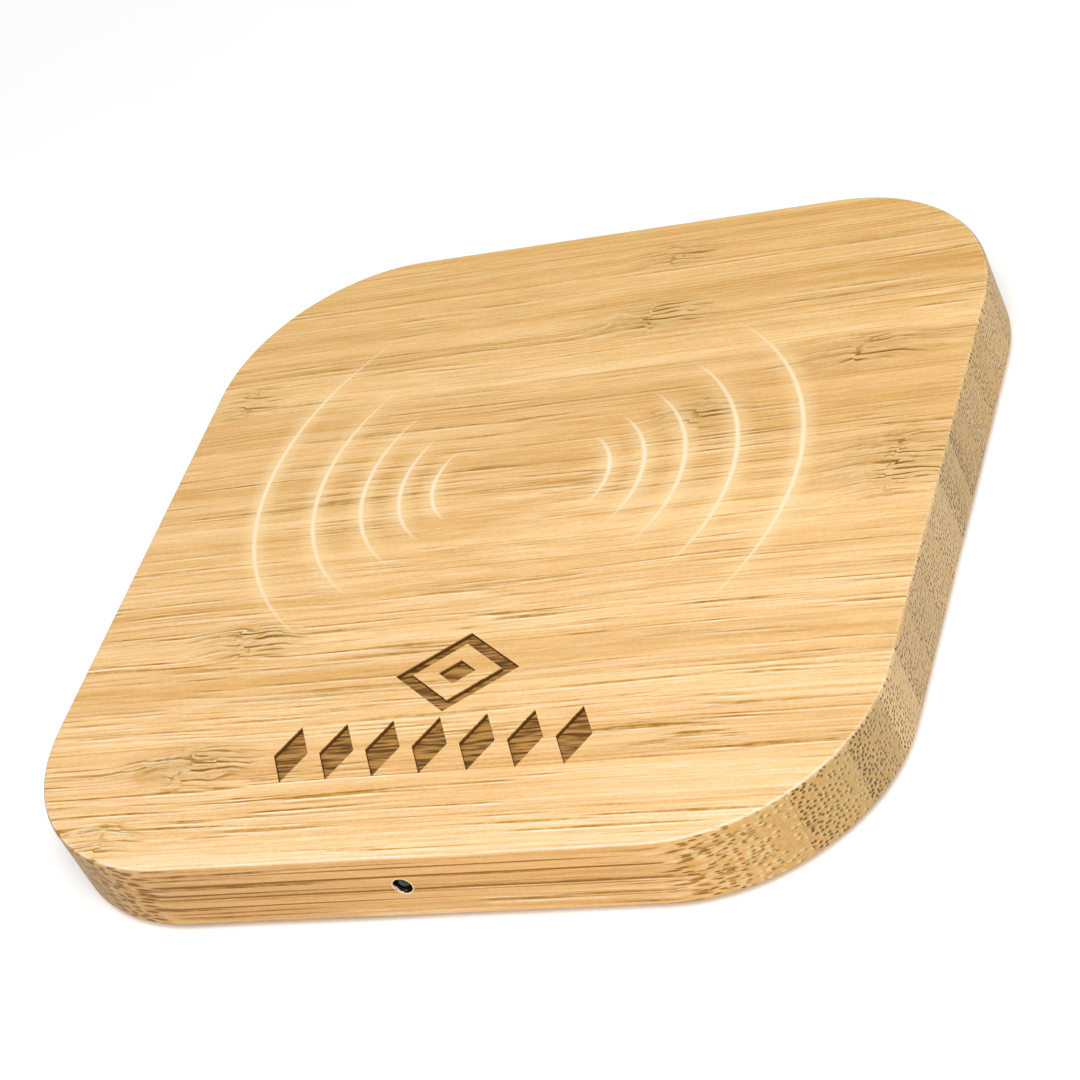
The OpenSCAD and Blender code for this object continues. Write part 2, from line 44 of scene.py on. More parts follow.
camera_data = bpy.data.cameras.new("photo_camera")
camera_data.lens = camera_lens
camera_data.sensor_width = camera_sensor
camera_data.sensor_fit = "AUTO"
camera = bpy.data.objects.new("photo_camera", camera_data)
scene.collection.objects.link(camera)
camera.location = camera_place
camera.rotation_mode = "QUATERNION"
facing = (camera_aim - camera_place).to_track_quat("-Z", "Y")
camera.rotation_quaternion = facing @ Quaternion((0, 0, 1), camera_roll)
scene.camera = camera
bpy.context.view_layer.update()

image_points = {
    "left_edge": (42.5, None),
    "right_edge": (1011.5, None),
    "top_edge": (None, 195.0),
    "bottom_edge": (None, 926.6),
    "status_light": (402.3, 886.0),
    "knot_rear": (650.0, 317.0),
    "knot_rear_edge": (673.0, 255.0),
    "knot_left": (249.6, 403.5),
    "knot_right_rear": (861.0, 350.0),
    "knot_star": (695.0, 413.0),
    "knot_right_end": (893.0, 462.0),
    "knot_left_front": (246.0, 643.0),
    "knot_front": (186.0, 766.0),
    "knot_corner": (101.0, 841.0),
    "wave_left": (259.1, 512.5),
    "wave_right": (802.7, 442.1),
}


def ray_from(x, y):
    """The camera's place and the direction through a point of the photograph."""
    longest = max(photo_w, photo_h)
    across = x - photo_w / 2 + camera_data.shift_x * longest
    upward = photo_h / 2 - y + camera_data.shift_y * longest
    depth = -longest * camera_data.lens / camera_data.sensor_width
    turned = camera.matrix_world.to_quaternion() @ Vector((across, upward, depth))
    return camera.matrix_world.translation, turned.normalized()


def seen_place(name, surface):
    """Where an image point lies on a surface tree, or the place nearest its ray."""
    start, way = ray_from(*image_points[name])
    place = surface.ray_cast(start, way)[0]
    if place is None:
        reach = (camera_aim - start).dot(way)
        place = surface.find_nearest(start + way * reach)[0]
    return place


# ---------------------------------------------------------------- bamboo housing
# A blank of vertical-grain laminated bamboo: strips of the culm wall stood on edge and glued side by side,
# grain along X. It is milled to shape, laser-engraved in front, sanded and oiled, so every face cuts the
# same solid grain: lines on top, long streaks in front, dotted bundles on the end grain.
strip_w = 6.15
strip_start = -44.45
bundle_gap = 0.54
strip_seed = 333.75
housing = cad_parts["bamboo_housing"]
housing_low, housing_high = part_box("bamboo_housing")


def linear(code):
    """An sRGB hex colour as linear RGBA."""
    parts = [int(code[i:i + 2], 16) / 255 for i in (1, 3, 5)]
    return [c / 12.92 if c <= 0.04045 else ((c + 0.055) / 1.055) ** 2.4 for c in parts] + [1.0]


def connect(tree, target, inputs):
    """Sets a node's inputs, each to a plain value or to another node's output."""
    for name, value in inputs.items():
        if isinstance(value, bpy.types.NodeSocket):
            tree.links.new(value, target.inputs[name])
        else:
            target.inputs[name].default_value = value


def node(tree, kind, out, inputs, **settings):
    """Adds a shader node with its settings and inputs, and returns one output, or all of them for None."""
    made = tree.nodes.new("ShaderNode" + kind)
    for name, value in settings.items():
        setattr(made, name, value)
    connect(tree, made, inputs)
    return made.outputs if out is None else made.outputs[out]


def streaks(tree, place, stretch, settings, out="Fac"):
    """A cloudy pattern drawn out along grain or tool marks. Stretch is how many clouds there are to 1 mm."""
    drawn_out = node(tree, "VectorMath", 0, {0: place, 1: stretch}, operation="MULTIPLY")
    return node(tree, "TexNoise", out, {"Vector": drawn_out, "Scale": 1.0, **settings})


def start_material(name):
    """An empty material with its shader, and Object coordinates in millimetres."""
    material = bpy.data.materials.new(name)
    material.use_nodes = True
    tree = material.node_tree
    tree.nodes.clear()
    shader = tree.nodes.new("ShaderNodeBsdfPrincipled")
    end = tree.nodes.new("ShaderNodeOutputMaterial")
    tree.links.new(shader.outputs[0], end.inputs[0])
    metres = node(tree, "TexCoord", "Object", {})
    millimetres = node(tree, "VectorMath", 0, {0: metres, 3: 1000.0}, operation="SCALE")
    return material, tree, shader, millimetres


bamboo, tree, shader, place = start_material("oiled_laminated_bamboo")
along, across, height = node(tree, "SeparateXYZ", None, {0: place})
facing_way = node(tree, "TexCoord", "Normal", {})
facing_x, facing_y, top_tilt = node(tree, "SeparateXYZ", None, {0: facing_way})
end_tilt = node(tree, "Math", 0, {0: facing_x}, operation="ABSOLUTE")
end_share = node(tree, "MapRange", 0, {"Value": end_tilt, "From Min": 0.1, "From Max": 0.75},
                 interpolation_type="SMOOTHSTEP")
side_tilt = node(tree, "Math", 0, {0: facing_y}, operation="ABSOLUTE")

# each strip has its own tone, line strength and pattern, and runs from dense skin side to sparse pith side
strip = node(tree, "Math", 0, {0: across, 1: 1 / strip_w, 2: -strip_start / strip_w},
             operation="MULTIPLY_ADD")
strip_number = node(tree, "Math", 0, {0: strip}, operation="FLOOR")
strip_depth = node(tree, "Math", 0, {0: strip}, operation="FRACT")
strip_seeded = node(tree, "Math", 0, {0: strip_number, 1: strip_seed}, operation="ADD")
strip_random = node(tree, "TexWhiteNoise", "Color", {"W": strip_seeded}, noise_dimensions="1D")
strip_tone, strip_lines, strip_spare = node(tree, "SeparateXYZ", None, {0: strip_random})

# knots are the culm's joints, about one strip wide: the grain arches over each, with dark lines leaving it on
# the right and fine cracks across its middle. image point, half length, half width, strength
knots = [
    ("knot_rear", 12.0, 4.0, 1.0),
    ("knot_rear_edge", 8.0, 3.2, 0.8),
    ("knot_left", 7.0, 4.0, 0.8),
    ("knot_right_rear", 12.0, 4.0, 0.9),
    ("knot_star", 8.0, 4.2, 1.0),
    ("knot_right_end", 12.0, 7.5, 1.0),
    ("knot_left_front", 10.0, 4.2, 1.0),
    ("knot_front", 12.0, 4.6, 1.0),
    ("knot_corner", 7.0, 3.6, 0.8),
]
housing_surface = BVHTree.FromObject(housing, bpy.context.evaluated_depsgraph_get())
placed = {name: seen_place(name, housing_surface)
          for name, point in image_points.items() if None not in point}
knot_ragged = 6.0
crack_half = 0.6
crack_fades = 1.8
jog_half = 0.12
uneven = streaks(tree, place, (0.12, 1.1, 0.6), {"Detail": 1.0})
knot = 0.0
knot_trail = 0.0
knot_crack = 0.0
knot_break = 0.0
for name, half_length, half_width, strength in knots:
    middle = placed[name] * 1000
    offset = node(tree, "VectorMath", 0, {0: place, 1: middle}, operation="SUBTRACT")
    offset_x = node(tree, "SeparateXYZ", 0, {0: offset})
    offset_x = node(tree, "Math", 0, {0: uneven, 1: knot_ragged, 2: offset_x}, operation="MULTIPLY_ADD")
    offset_x = node(tree, "Math", 0, {0: offset_x, 1: knot_ragged / 2}, operation="SUBTRACT")
    shape = (1 / half_length, 1 / half_width, 0.02)
    scaled = node(tree, "VectorMath", 0, {0: offset, 1: shape}, operation="MULTIPLY")
    away = node(tree, "VectorMath", "Value", {0: scaled}, operation="LENGTH")
    pull = node(tree, "MapRange", 0, {"Value": away, "From Min": 1.0, "From Max": 0.3, "To Max": strength},
                interpolation_type="SMOOTHSTEP")
    right = node(tree, "MapRange", 0, {"Value": offset_x, "From Min": -3.0, "From Max": 0.3, "To Min": 0.45})
    trail = node(tree, "Math", 0, {0: pull, 1: right}, operation="MULTIPLY")
    beside = node(tree, "Math", 0, {0: offset_x}, operation="ABSOLUTE")
    beside = node(tree, "MapRange", 0, {"Value": beside, "From Min": crack_fades, "From Max": crack_half})
    crack = node(tree, "Math", 0, {0: pull, 1: beside}, operation="MULTIPLY")
    past = node(tree, "MapRange", 0, {"Value": offset_x, "From Min": -jog_half, "From Max": jog_half})
    past = node(tree, "Math", 0, {0: pull, 1: past}, operation="MULTIPLY")
    knot = node(tree, "Math", 0, {0: knot, 1: pull}, operation="MAXIMUM")
    knot_trail = node(tree, "Math", 0, {0: knot_trail, 1: trail}, operation="MAXIMUM")
    knot_crack = node(tree, "Math", 0, {0: knot_crack, 1: crack}, operation="MAXIMUM")
    knot_break = node(tree, "Math", 0, {0: knot_break, 1: past}, operation="MAXIMUM")

# the grain wanders a little along each strip, less in the outer ones, arches over a knot, is ruffled there
# and jogs at its middle. All are in millimetres, and the last sets the strips' patterns well apart
wander_by = (0.0, 2.6, 3.0)
ruffle_by = (2.0, 1.1, 2.0)
arch_by = (0.0, -0.85, 0.0)
jog_by = (0.0, 0.4, 0.0)
strips_by = (310.0, 170.0, 230.0)
wander = streaks(tree, place, (0.016, 0.035, 0.035), {"Detail": 2.0, "Roughness": 0.4}, "Color")
wander = node(tree, "VectorMath", 0, {0: wander, 1: (0.5, 0.5, 0.5)}, operation="SUBTRACT")
wander = node(tree, "VectorMath", 0, {0: wander, 1: wander_by}, operation="MULTIPLY")
from_middle = node(tree, "Math", 0, {0: across}, operation="ABSOLUTE")
calm = node(tree, "MapRange", 0, {"Value": from_middle, "From Min": 38.0, "From Max": 48.0, "To Min": 1.0,
                                  "To Max": 0.2})
wander = node(tree, "VectorMath", 0, {0: wander, 3: calm}, operation="SCALE")
ruffle = streaks(tree, place, (0.22, 0.35, 0.3), {"Detail": 1.0, "Roughness": 0.4}, "Color")
ruffle = node(tree, "VectorMath", 0, {0: ruffle, 1: (0.5, 0.5, 0.5)}, operation="SUBTRACT")
ruffle = node(tree, "VectorMath", 0, {0: ruffle, 1: ruffle_by}, operation="MULTIPLY")
ruffle = node(tree, "VectorMath", 0, {0: ruffle, 1: arch_by}, operation="ADD")
swirl = node(tree, "VectorMath", 0, {0: ruffle, 3: knot}, operation="SCALE")
jog = node(tree, "VectorMath", 0, {0: jog_by, 3: knot_break}, operation="SCALE")
strip_shift = node(tree, "VectorMath", 0, {0: strip_random, 1: strips_by}, operation="MULTIPLY")
grain = place
for moved_by in (wander, swirl, jog, strip_shift):
    grain = node(tree, "VectorMath", 0, {0: grain, 1: moved_by}, operation="ADD")

# fibre bundles run the length of a strip: dark dots with a pale vessel beside each on the end grain. The
# front strip has small bundles and open vessels at its right end, and broad bundles at its left
grain_y, grain_z = node(tree, "SeparateXYZ", None, {0: grain})[1:]
bundle_at = node(tree, "CombineXYZ", 0, {0: grain_y, 1: grain_z})
bundle_at = node(tree, "VectorMath", 0, {0: bundle_at, 3: 1 / bundle_gap}, operation="SCALE")
front_strip = node(tree, "Math", 0, {0: across, 1: strip_start}, operation="LESS_THAN")
rightwards = node(tree, "MapRange", 0, {"Value": along, "From Min": -30.0, "From Max": 30.0,
                                        "To Min": -0.6})
front_strip = node(tree, "Math", 0, {0: front_strip, 1: rightwards}, operation="MULTIPLY")
bundle_masks = []
# shift of the pattern, reach of a dot's outer and inner edge, how much the dot grows in the front strip
for shift, wide, narrow, grows in ((0.0, 0.37, 0.19, -0.22), (0.36, 0.34, 0.14, 0.15)):
    moved = node(tree, "VectorMath", 0, {0: bundle_at, 1: (shift, -shift, 0.0)}, operation="ADD")
    cells = node(tree, "TexVoronoi", None, {"Vector": moved, "Scale": 1.0, "Randomness": 0.75},
                 voronoi_dimensions="2D")
    chance = node(tree, "SeparateXYZ", 0, {0: cells["Color"]})
    share = node(tree, "MapRange", 0, {"Value": strip_depth, "To Min": 1.05, "To Max": 0.5})
    wide = node(tree, "Math", 0, {0: knot, 1: 0.2, 2: wide}, operation="MULTIPLY_ADD")
    there = node(tree, "Math", 0, {0: chance, 1: share}, operation="LESS_THAN")
    bundle_size = node(tree, "Math", 0, {0: front_strip, 1: grows, 2: 1.0}, operation="MULTIPLY_ADD")
    cell_reach = node(tree, "Math", 0, {0: cells["Distance"], 1: bundle_size}, operation="DIVIDE")
    round_mask = node(tree, "MapRange", 0, {"Value": cell_reach, "From Min": wide, "From Max": narrow},
                      interpolation_type="SMOOTHSTEP")
    bundle_masks.append(node(tree, "Math", 0, {0: round_mask, 1: there}, operation="MULTIPLY"))
bundle_dark, bundle_pale = bundle_masks

# broad bands, hairlines in clusters with a painted highlight line beside each, more of them in front, fine
# fibre, the mottle of the pith, and the ripples of the knots with a painted highlight beside each, and their
# crackle
band = streaks(tree, grain, (0.011, 0.42, 0.9), {"Detail": 3.0, "Roughness": 0.55})
cluster = streaks(tree, grain, (0.025, 0.30, 0.4), {"Detail": 2.0, "Roughness": 0.5})
lone = node(tree, "MapRange", 0, {"Value": cluster, "From Min": 0.35, "From Max": 0.62, "To Min": 0.67,
                                  "To Max": 0.53})
more_in_front = node(tree, "MapRange", 0, {"Value": across, "From Min": 0.0, "From Max": -45.0,
                                           "To Max": 0.03})
lone = node(tree, "Math", 0, {0: lone, 1: more_in_front}, operation="SUBTRACT")
beaded = streaks(tree, grain, (0.45, 1.2, 1.4), {"Detail": 2.0, "Roughness": 0.6})
beaded = node(tree, "MapRange", 0, {"Value": beaded, "From Min": 0.3, "From Max": 0.65, "To Min": 0.35})
hair_masks = []
# the second mask, shifted across the grain, is a painted highlight beside each dark hairline
for shift in (0.0, 0.25):
    hair_at = node(tree, "VectorMath", 0, {0: grain, 1: (0.0, shift, 0.0)}, operation="ADD")
    hair = streaks(tree, hair_at, (0.035, 2.2, 2.6), {"Detail": 2.0, "Roughness": 0.5})
    over = node(tree, "Math", 0, {0: hair, 1: lone}, operation="SUBTRACT")
    hair = node(tree, "MapRange", 0, {"Value": over, "From Min": 0.0, "From Max": 0.11})
    hair_masks.append(node(tree, "Math", 0, {0: hair, 1: beaded}, operation="MULTIPLY"))
hair_dark, hair_highlight = hair_masks
fibre = streaks(tree, grain, (0.2, 2.7, 3.6), {"Detail": 2.0, "Roughness": 0.6})
mottle = streaks(tree, place, (1.7, 2.4, 2.0), {"Detail": 3.0, "Roughness": 0.7})
spread = streaks(tree, grain, (0.08, 0.4, 0.3), {"Detail": 1.0, "Roughness": 0.5})
ripple_ends = streaks(tree, grain, (0.2, 1.1, 0.8), {"Detail": 1.0})
ripple_half = node(tree, "MapRange", 0, {"Value": ripple_ends, "From Min": 0.33, "From Max": 0.60,
                                         "To Max": 0.5})
ripple_gap = 0.85
knot_masks = []
# the second ripple, shifted across the grain, is a painted highlight beside each dark one
for shift in (0.0, 0.32):
    ripple = node(tree, "Math", 0, {0: grain_y, 1: 1 / ripple_gap, 2: shift}, operation="MULTIPLY_ADD")
    ripple = node(tree, "Math", 0, {0: spread, 1: 2.5, 2: ripple}, operation="MULTIPLY_ADD")
    ripple = node(tree, "Math", 0, {0: ripple, 1: 0.5}, operation="PINGPONG")
    ripple = node(tree, "Math", 0, {0: ripple, 1: 2.0}, operation="MULTIPLY")
    inside = node(tree, "Math", 0, {0: ripple_half, 1: ripple}, operation="SUBTRACT")
    knot_masks.append(node(tree, "MapRange", 0, {"Value": inside, "From Min": 0.0, "From Max": 0.22}))
ripple_dark, ripple_highlight = knot_masks
crack_at = node(tree, "VectorMath", 0, {0: place, 1: swirl}, operation="ADD")
crackle = streaks(tree, crack_at, (1.4, 0.5, 0.3), {"Detail": 2.0, "Roughness": 0.5})

# straw ground with tan bands. Painted highlights beside the hairlines and knot ripples, and pale vessels, are
# laid over it, and the eased top edge carries a painted cream highlight where it runs along the grain
ground = linear("#f8cf90")
tan = linear("#dfae62")
cream = linear("#fff0cc")
lengthwise = node(tree, "MapRange", 0, {"Value": end_share, "To Min": 1.0, "To Max": 0.25})
band_mix = node(tree, "MapRange", 0, {"Value": band, "From Min": 0.40, "From Max": 0.74, "To Min": 0.06,
                                      "To Max": 0.84})
band_mix = node(tree, "Math", 0, {0: band_mix, 1: lengthwise}, operation="MULTIPLY")
colour = node(tree, "Mix", 2, {0: band_mix, 6: ground, 7: tan}, data_type="RGBA")
nearer = node(tree, "MapRange", 0, {"Value": across, "From Min": 45.0, "From Max": -45.0, "To Min": 0.75,
                                    "To Max": 1.2})
side_share = node(tree, "MapRange", 0, {"Value": side_tilt, "From Min": 0.2, "From Max": 0.8})
on_side = node(tree, "MapRange", 0, {"Value": side_share, "To Min": 0.85})
hair_level = node(tree, "MapRange", 0, {"Value": strip_lines, "To Min": 0.55, "To Max": 0.95})
for share in (lengthwise, nearer, on_side):
    hair_level = node(tree, "Math", 0, {0: hair_level, 1: share}, operation="MULTIPLY")
hair_highlight = node(tree, "Math", 0, {0: hair_highlight, 1: hair_level}, operation="MULTIPLY")
hair_dark = node(tree, "Math", 0, {0: hair_dark, 1: hair_level}, operation="MULTIPLY")
dark_depth = node(tree, "MapRange", 0, {"Value": strip_depth, "To Min": 1.0, "To Max": 0.45})
edge_out = node(tree, "MapRange", 0, {"Value": top_tilt, "From Min": 0.998, "From Max": 0.97})
edge_in = node(tree, "MapRange", 0, {"Value": top_tilt, "From Min": 0.55, "From Max": 0.8})
eased_edge = node(tree, "Math", 0, {0: edge_out, 1: edge_in}, operation="MULTIPLY")
# the dark lines are cleared under the painted highlight of the eased edge
highlight_clears_dark = node(tree, "MapRange", 0, {"Value": eased_edge, "To Min": 1.0, "To Max": 0.1})
lie_level = node(tree, "MapRange", 0, {"Value": side_share, "To Min": 0.16, "To Max": 1.0})
dark_level = node(tree, "Mix", 0, {0: end_share, 2: lie_level, 3: 1.0})
for share in (dark_depth, bundle_dark, highlight_clears_dark):
    dark_level = node(tree, "Math", 0, {0: dark_level, 1: share}, operation="MULTIPLY")
pale_level = node(tree, "MapRange", 0, {"Value": end_share, "To Min": 0.22, "To Max": 0.72})
open_level = node(tree, "Math", 0, {0: front_strip, 1: end_share}, operation="MULTIPLY")
pale_level = node(tree, "Math", 0, {0: open_level, 1: 0.6, 2: pale_level}, operation="MULTIPLY_ADD")
pale_level = node(tree, "Math", 0, {0: pale_level, 1: bundle_pale}, operation="MULTIPLY")
knot_line = node(tree, "Math", 0, {0: ripple_dark, 1: knot_trail}, operation="MULTIPLY")
knot_line = node(tree, "Math", 0, {0: knot_line, 1: lengthwise}, operation="MULTIPLY")
# painted highlight beside the knot ripples
knot_highlight_level = 0.45
knot_highlight = node(tree, "Math", 0, {0: ripple_highlight, 1: knot}, operation="MULTIPLY")
knot_highlight = node(tree, "Math", 0, {0: knot_highlight, 1: knot_highlight_level}, operation="MULTIPLY")
crackle = node(tree, "MapRange", 0, {"Value": crackle, "From Min": 0.54, "From Max": 0.66, "To Max": 0.45})
crackle = node(tree, "Math", 0, {0: crackle, 1: knot_crack}, operation="MULTIPLY")
pale = node(tree, "Math", 0, {0: hair_highlight, 1: pale_level}, operation="MAXIMUM")
pale = node(tree, "Math", 0, {0: pale, 1: knot_highlight}, operation="MAXIMUM")
colour = node(tree, "Mix", 2, {0: pale, 6: colour, 7: cream}, data_type="RGBA")
# painted highlight: the eased top edge is painted cream along the front and back, less towards the ends
edge_turn = node(tree, "Math", 0, {0: side_tilt, 1: end_tilt}, operation="SUBTRACT")
edge_highlight = node(tree, "MapRange", 0, {"Value": edge_turn, "From Min": -0.35, "From Max": -0.05,
                                       "To Min": 0.1, "To Max": 0.8})
edge_highlight = node(tree, "Math", 0, {0: eased_edge, 1: edge_highlight}, operation="MULTIPLY")
edge_highlight_colour = linear("#f8e2c2")
colour = node(tree, "Mix", 2, {0: edge_highlight, 6: colour, 7: edge_highlight_colour}, data_type="RGBA")

# glue lines show here and there as a hair of brown
glue_far = node(tree, "Math", 0, {0: strip_depth, 1: 0.5}, operation="SUBTRACT")
glue_far = node(tree, "Math", 0, {0: glue_far}, operation="ABSOLUTE")
glue = node(tree, "MapRange", 0, {"Value": glue_far, "From Min": 0.478, "From Max": 0.497})
glue_shows = streaks(tree, place, (0.03, 0.3, 0.1), {"Detail": 2.0})
glue_shows = node(tree, "MapRange", 0, {"Value": glue_shows, "From Min": 0.4, "From Max": 0.65,
                                        "To Max": 0.45})
glue = node(tree, "Math", 0, {0: glue, 1: glue_shows}, operation="MULTIPLY")
glue = node(tree, "Math", 0, {0: glue, 1: lengthwise}, operation="MULTIPLY")

# fibres, knots and glue stain the straw, golden in front, tawny behind and on the sides, umber in the knots
# and olive on the ends: the stain is laid on twice, so it deepens as it thickens
golden = (0.66, 0.45, 0.0, 1.0)
tawny = (0.56, 0.43, 0.06, 1.0)
umber = (0.56, 0.44, 0.09, 1.0)
olive = (0.50, 0.42, 0.18, 1.0)
plain = (1.0, 1.0, 1.0, 1.0)
# share from front to rear: it sets the stain's hue, and a painted light that is lighter in front and darker
# behind
rear_stain_and_shade = node(tree, "MapRange", 0, {"Value": across, "From Min": -50.0, "From Max": 50.0})
stain = node(tree, "Mix", 2, {0: rear_stain_and_shade, 6: golden, 7: tawny}, data_type="RGBA")
stain = node(tree, "Mix", 2, {0: side_share, 6: stain, 7: tawny}, data_type="RGBA")
stain = node(tree, "Mix", 2, {0: knot, 6: stain, 7: umber}, data_type="RGBA")
stain = node(tree, "Mix", 2, {0: end_share, 6: stain, 7: olive}, data_type="RGBA")
stain_levels = [
    (hair_dark, 0.93),
    (dark_level, 0.9),
    (knot_line, 0.88),
    (crackle, 1.0),
    (glue, 1.0),
    (knot, 0.15),
]
dark = 0.0
for mask, level in stain_levels:
    part = node(tree, "Math", 0, {0: mask, 1: level}, operation="MULTIPLY")
    dark = node(tree, "Math", 0, {0: dark, 1: part}, operation="MAXIMUM")
stained = node(tree, "Mix", 2, {0: dark, 6: plain, 7: stain}, data_type="RGBA")
colour = node(tree, "VectorMath", 0, {0: colour, 1: stained}, operation="MULTIPLY")
colour = node(tree, "VectorMath", 0, {0: colour, 1: stained}, operation="MULTIPLY")

# tone of each strip, fibre and mottle: denser straw is darker and more golden, so part of it is an exponent;
# the sides are painted darker towards the left as painted shade, sawn ends and sides are tinted darker than
# the sanded top, partly as oil they drink and partly as painted shade, and painted light makes the top
# lighter and cooler in front, darker and warmer behind
fibre_shade = node(tree, "MapRange", 0, {"Value": fibre, "From Min": 0.25, "From Max": 0.75, "To Min": 0.94,
                                         "To Max": 1.06})
strip_shade = node(tree, "MapRange", 0, {"Value": strip_tone, "To Min": 0.91, "To Max": 1.01})
mottle_shade = node(tree, "MapRange", 0, {"Value": mottle, "From Min": 0.25, "From Max": 0.75, "To Min": 0.95,
                                          "To Max": 1.05})
shade = node(tree, "Math", 0, {0: fibre_shade, 1: strip_shade}, operation="MULTIPLY")
shade = node(tree, "Math", 0, {0: shade, 1: mottle_shade}, operation="MULTIPLY")
depth = node(tree, "MapRange", 0, {"Value": shade, "From Min": 0.85, "From Max": 1.15, "To Min": 1.26,
                                   "To Max": 0.74})
colour = node(tree, "Gamma", 0, {"Color": colour, "Gamma": depth})
sawn_share = node(tree, "MapRange", 0, {"Value": end_tilt, "From Min": 0.1, "From Max": 0.9})
corner_share = node(tree, "Math", 0, {0: side_share, 1: sawn_share}, operation="MULTIPLY")
# painted shade: the sides get darker towards the left, away from the light
painted_left_shade = node(tree, "MapRange", 0, {"Value": along, "From Min": -50.0, "From Max": 10.0, "To Min": 0.80})
painted_left_shade = node(tree, "Mix", 0, {0: side_share, 2: 1.0, 3: painted_left_shade})
shade = node(tree, "Math", 0, {0: shade, 1: painted_left_shade}, operation="MULTIPLY")
skin_shade = node(tree, "MapRange", 0, {"Value": strip_spare, "To Min": 0.84, "To Max": 1.06})
skin_shade = node(tree, "Mix", 0, {0: end_share, 2: 1.0, 3: skin_shade})
shade = node(tree, "Math", 0, {0: shade, 1: skin_shade}, operation="MULTIPLY")
colour = node(tree, "VectorMath", 0, {0: colour, 3: shade}, operation="SCALE")
# share of the face, tint where it is 0, tint where it is 1
tints = [
    # painted light: lighter and cooler in front, darker and warmer behind
    (rear_stain_and_shade, (1.03, 1.06, 1.28, 1.0), (0.89, 0.86, 0.80, 1.0)),
    # the sawn-end and side tints are partly oil drunk by the grain and partly painted shade, and the corner
    # tint, painted too, lifts where both meet
    (sawn_share, plain, (0.68, 0.675, 0.61, 1.0)),
    (side_share, plain, (0.77, 0.643, 0.439, 1.0)),
    (corner_share, plain, (1.04, 1.12, 1.04, 1.0)),
]
for share, none_tint, full_tint in tints:
    tint = node(tree, "Mix", 2, {0: share, 6: none_tint, 7: full_tint}, data_type="RGBA")
    colour = node(tree, "VectorMath", 0, {0: colour, 1: tint}, operation="MULTIPLY")

# the laser leaves the engraved floors burnt brown with the grain running through, and their walls darker
burnt = linear("#b78645")
charred = linear("#5f3e18")
ornament_half = (21.0, 13.0)
ornament_middle = (0.0, -28.0, 0.0)
ornament_reach = 0.7
top_mm = housing_high.z * 1000
sunk = node(tree, "MapRange", 0, {"Value": height, "From Min": top_mm - 0.02, "From Max": top_mm - 0.2})
above = node(tree, "Math", 0, {0: height, 1: top_mm - ornament_reach}, operation="GREATER_THAN")
engraved = node(tree, "Math", 0, {0: sunk, 1: above}, operation="MULTIPLY")
from_ornament = node(tree, "VectorMath", 0, {0: place, 1: ornament_middle}, operation="SUBTRACT")
from_ornament = node(tree, "VectorMath", 0, {0: from_ornament}, operation="ABSOLUTE")
from_ornament = node(tree, "SeparateXYZ", None, {0: from_ornament})
for axis, half in enumerate(ornament_half):
    within = node(tree, "Math", 0, {0: from_ornament[axis], 1: half}, operation="LESS_THAN")
    engraved = node(tree, "Math", 0, {0: engraved, 1: within}, operation="MULTIPLY")
burn_streak = node(tree, "MapRange", 0, {"Value": fibre, "From Min": 0.40, "From Max": 0.60})
burn_colour = node(tree, "Mix", 2, {0: burn_streak, 6: burnt, 7: charred}, data_type="RGBA")
wall = node(tree, "MapRange", 0, {"Value": top_tilt, "From Min": 0.9, "From Max": 0.4})
burn_colour = node(tree, "Mix", 2, {0: wall, 6: burn_colour, 7: charred}, data_type="RGBA")
colour = node(tree, "Mix", 2, {0: engraved, 6: colour, 7: burn_colour}, data_type="RGBA")

# two families of five pale arcs, printed thin on the oiled top, with a soft edge, fading ends and a painted
# glow round each. Radii, the steps inward of their crests and the half spans in degrees go from the outermost
# arc to the innermost
wave_white = linear("#fbe3c1")
wave_glow = linear("#ffe3ae")
wave_width = 0.47
wave_tip = 0.18
wave_spread = 2.4
halo_level = 0.4
wave_radii = (34.0, 25.2, 18.3, 13.0, 8.5)
wave_steps = (0.0, 7.75, 14.0, 18.95, 23.2)
wave_spans = (48.5, 46.0, 45.0, 44.0, 44.0)
wave_span = 44.0
# image point, the other family's, which way the arcs bulge in degrees, how much longer the outer ones run
families = (("wave_left", "wave_right", 189.5, 1.0), ("wave_right", "wave_left", 7.7, 0.0))


def from_axis(tree, place, middle, crosswise):
    """The way to each place from an axis through the middle, and its length. Crosswise is 0 on that axis."""
    way = node(tree, "VectorMath", 0, {0: place, 1: middle}, operation="SUBTRACT")
    way = node(tree, "VectorMath", 0, {0: way, 1: crosswise}, operation="MULTIPLY")
    return way, node(tree, "VectorMath", "Value", {0: way}, operation="LENGTH")


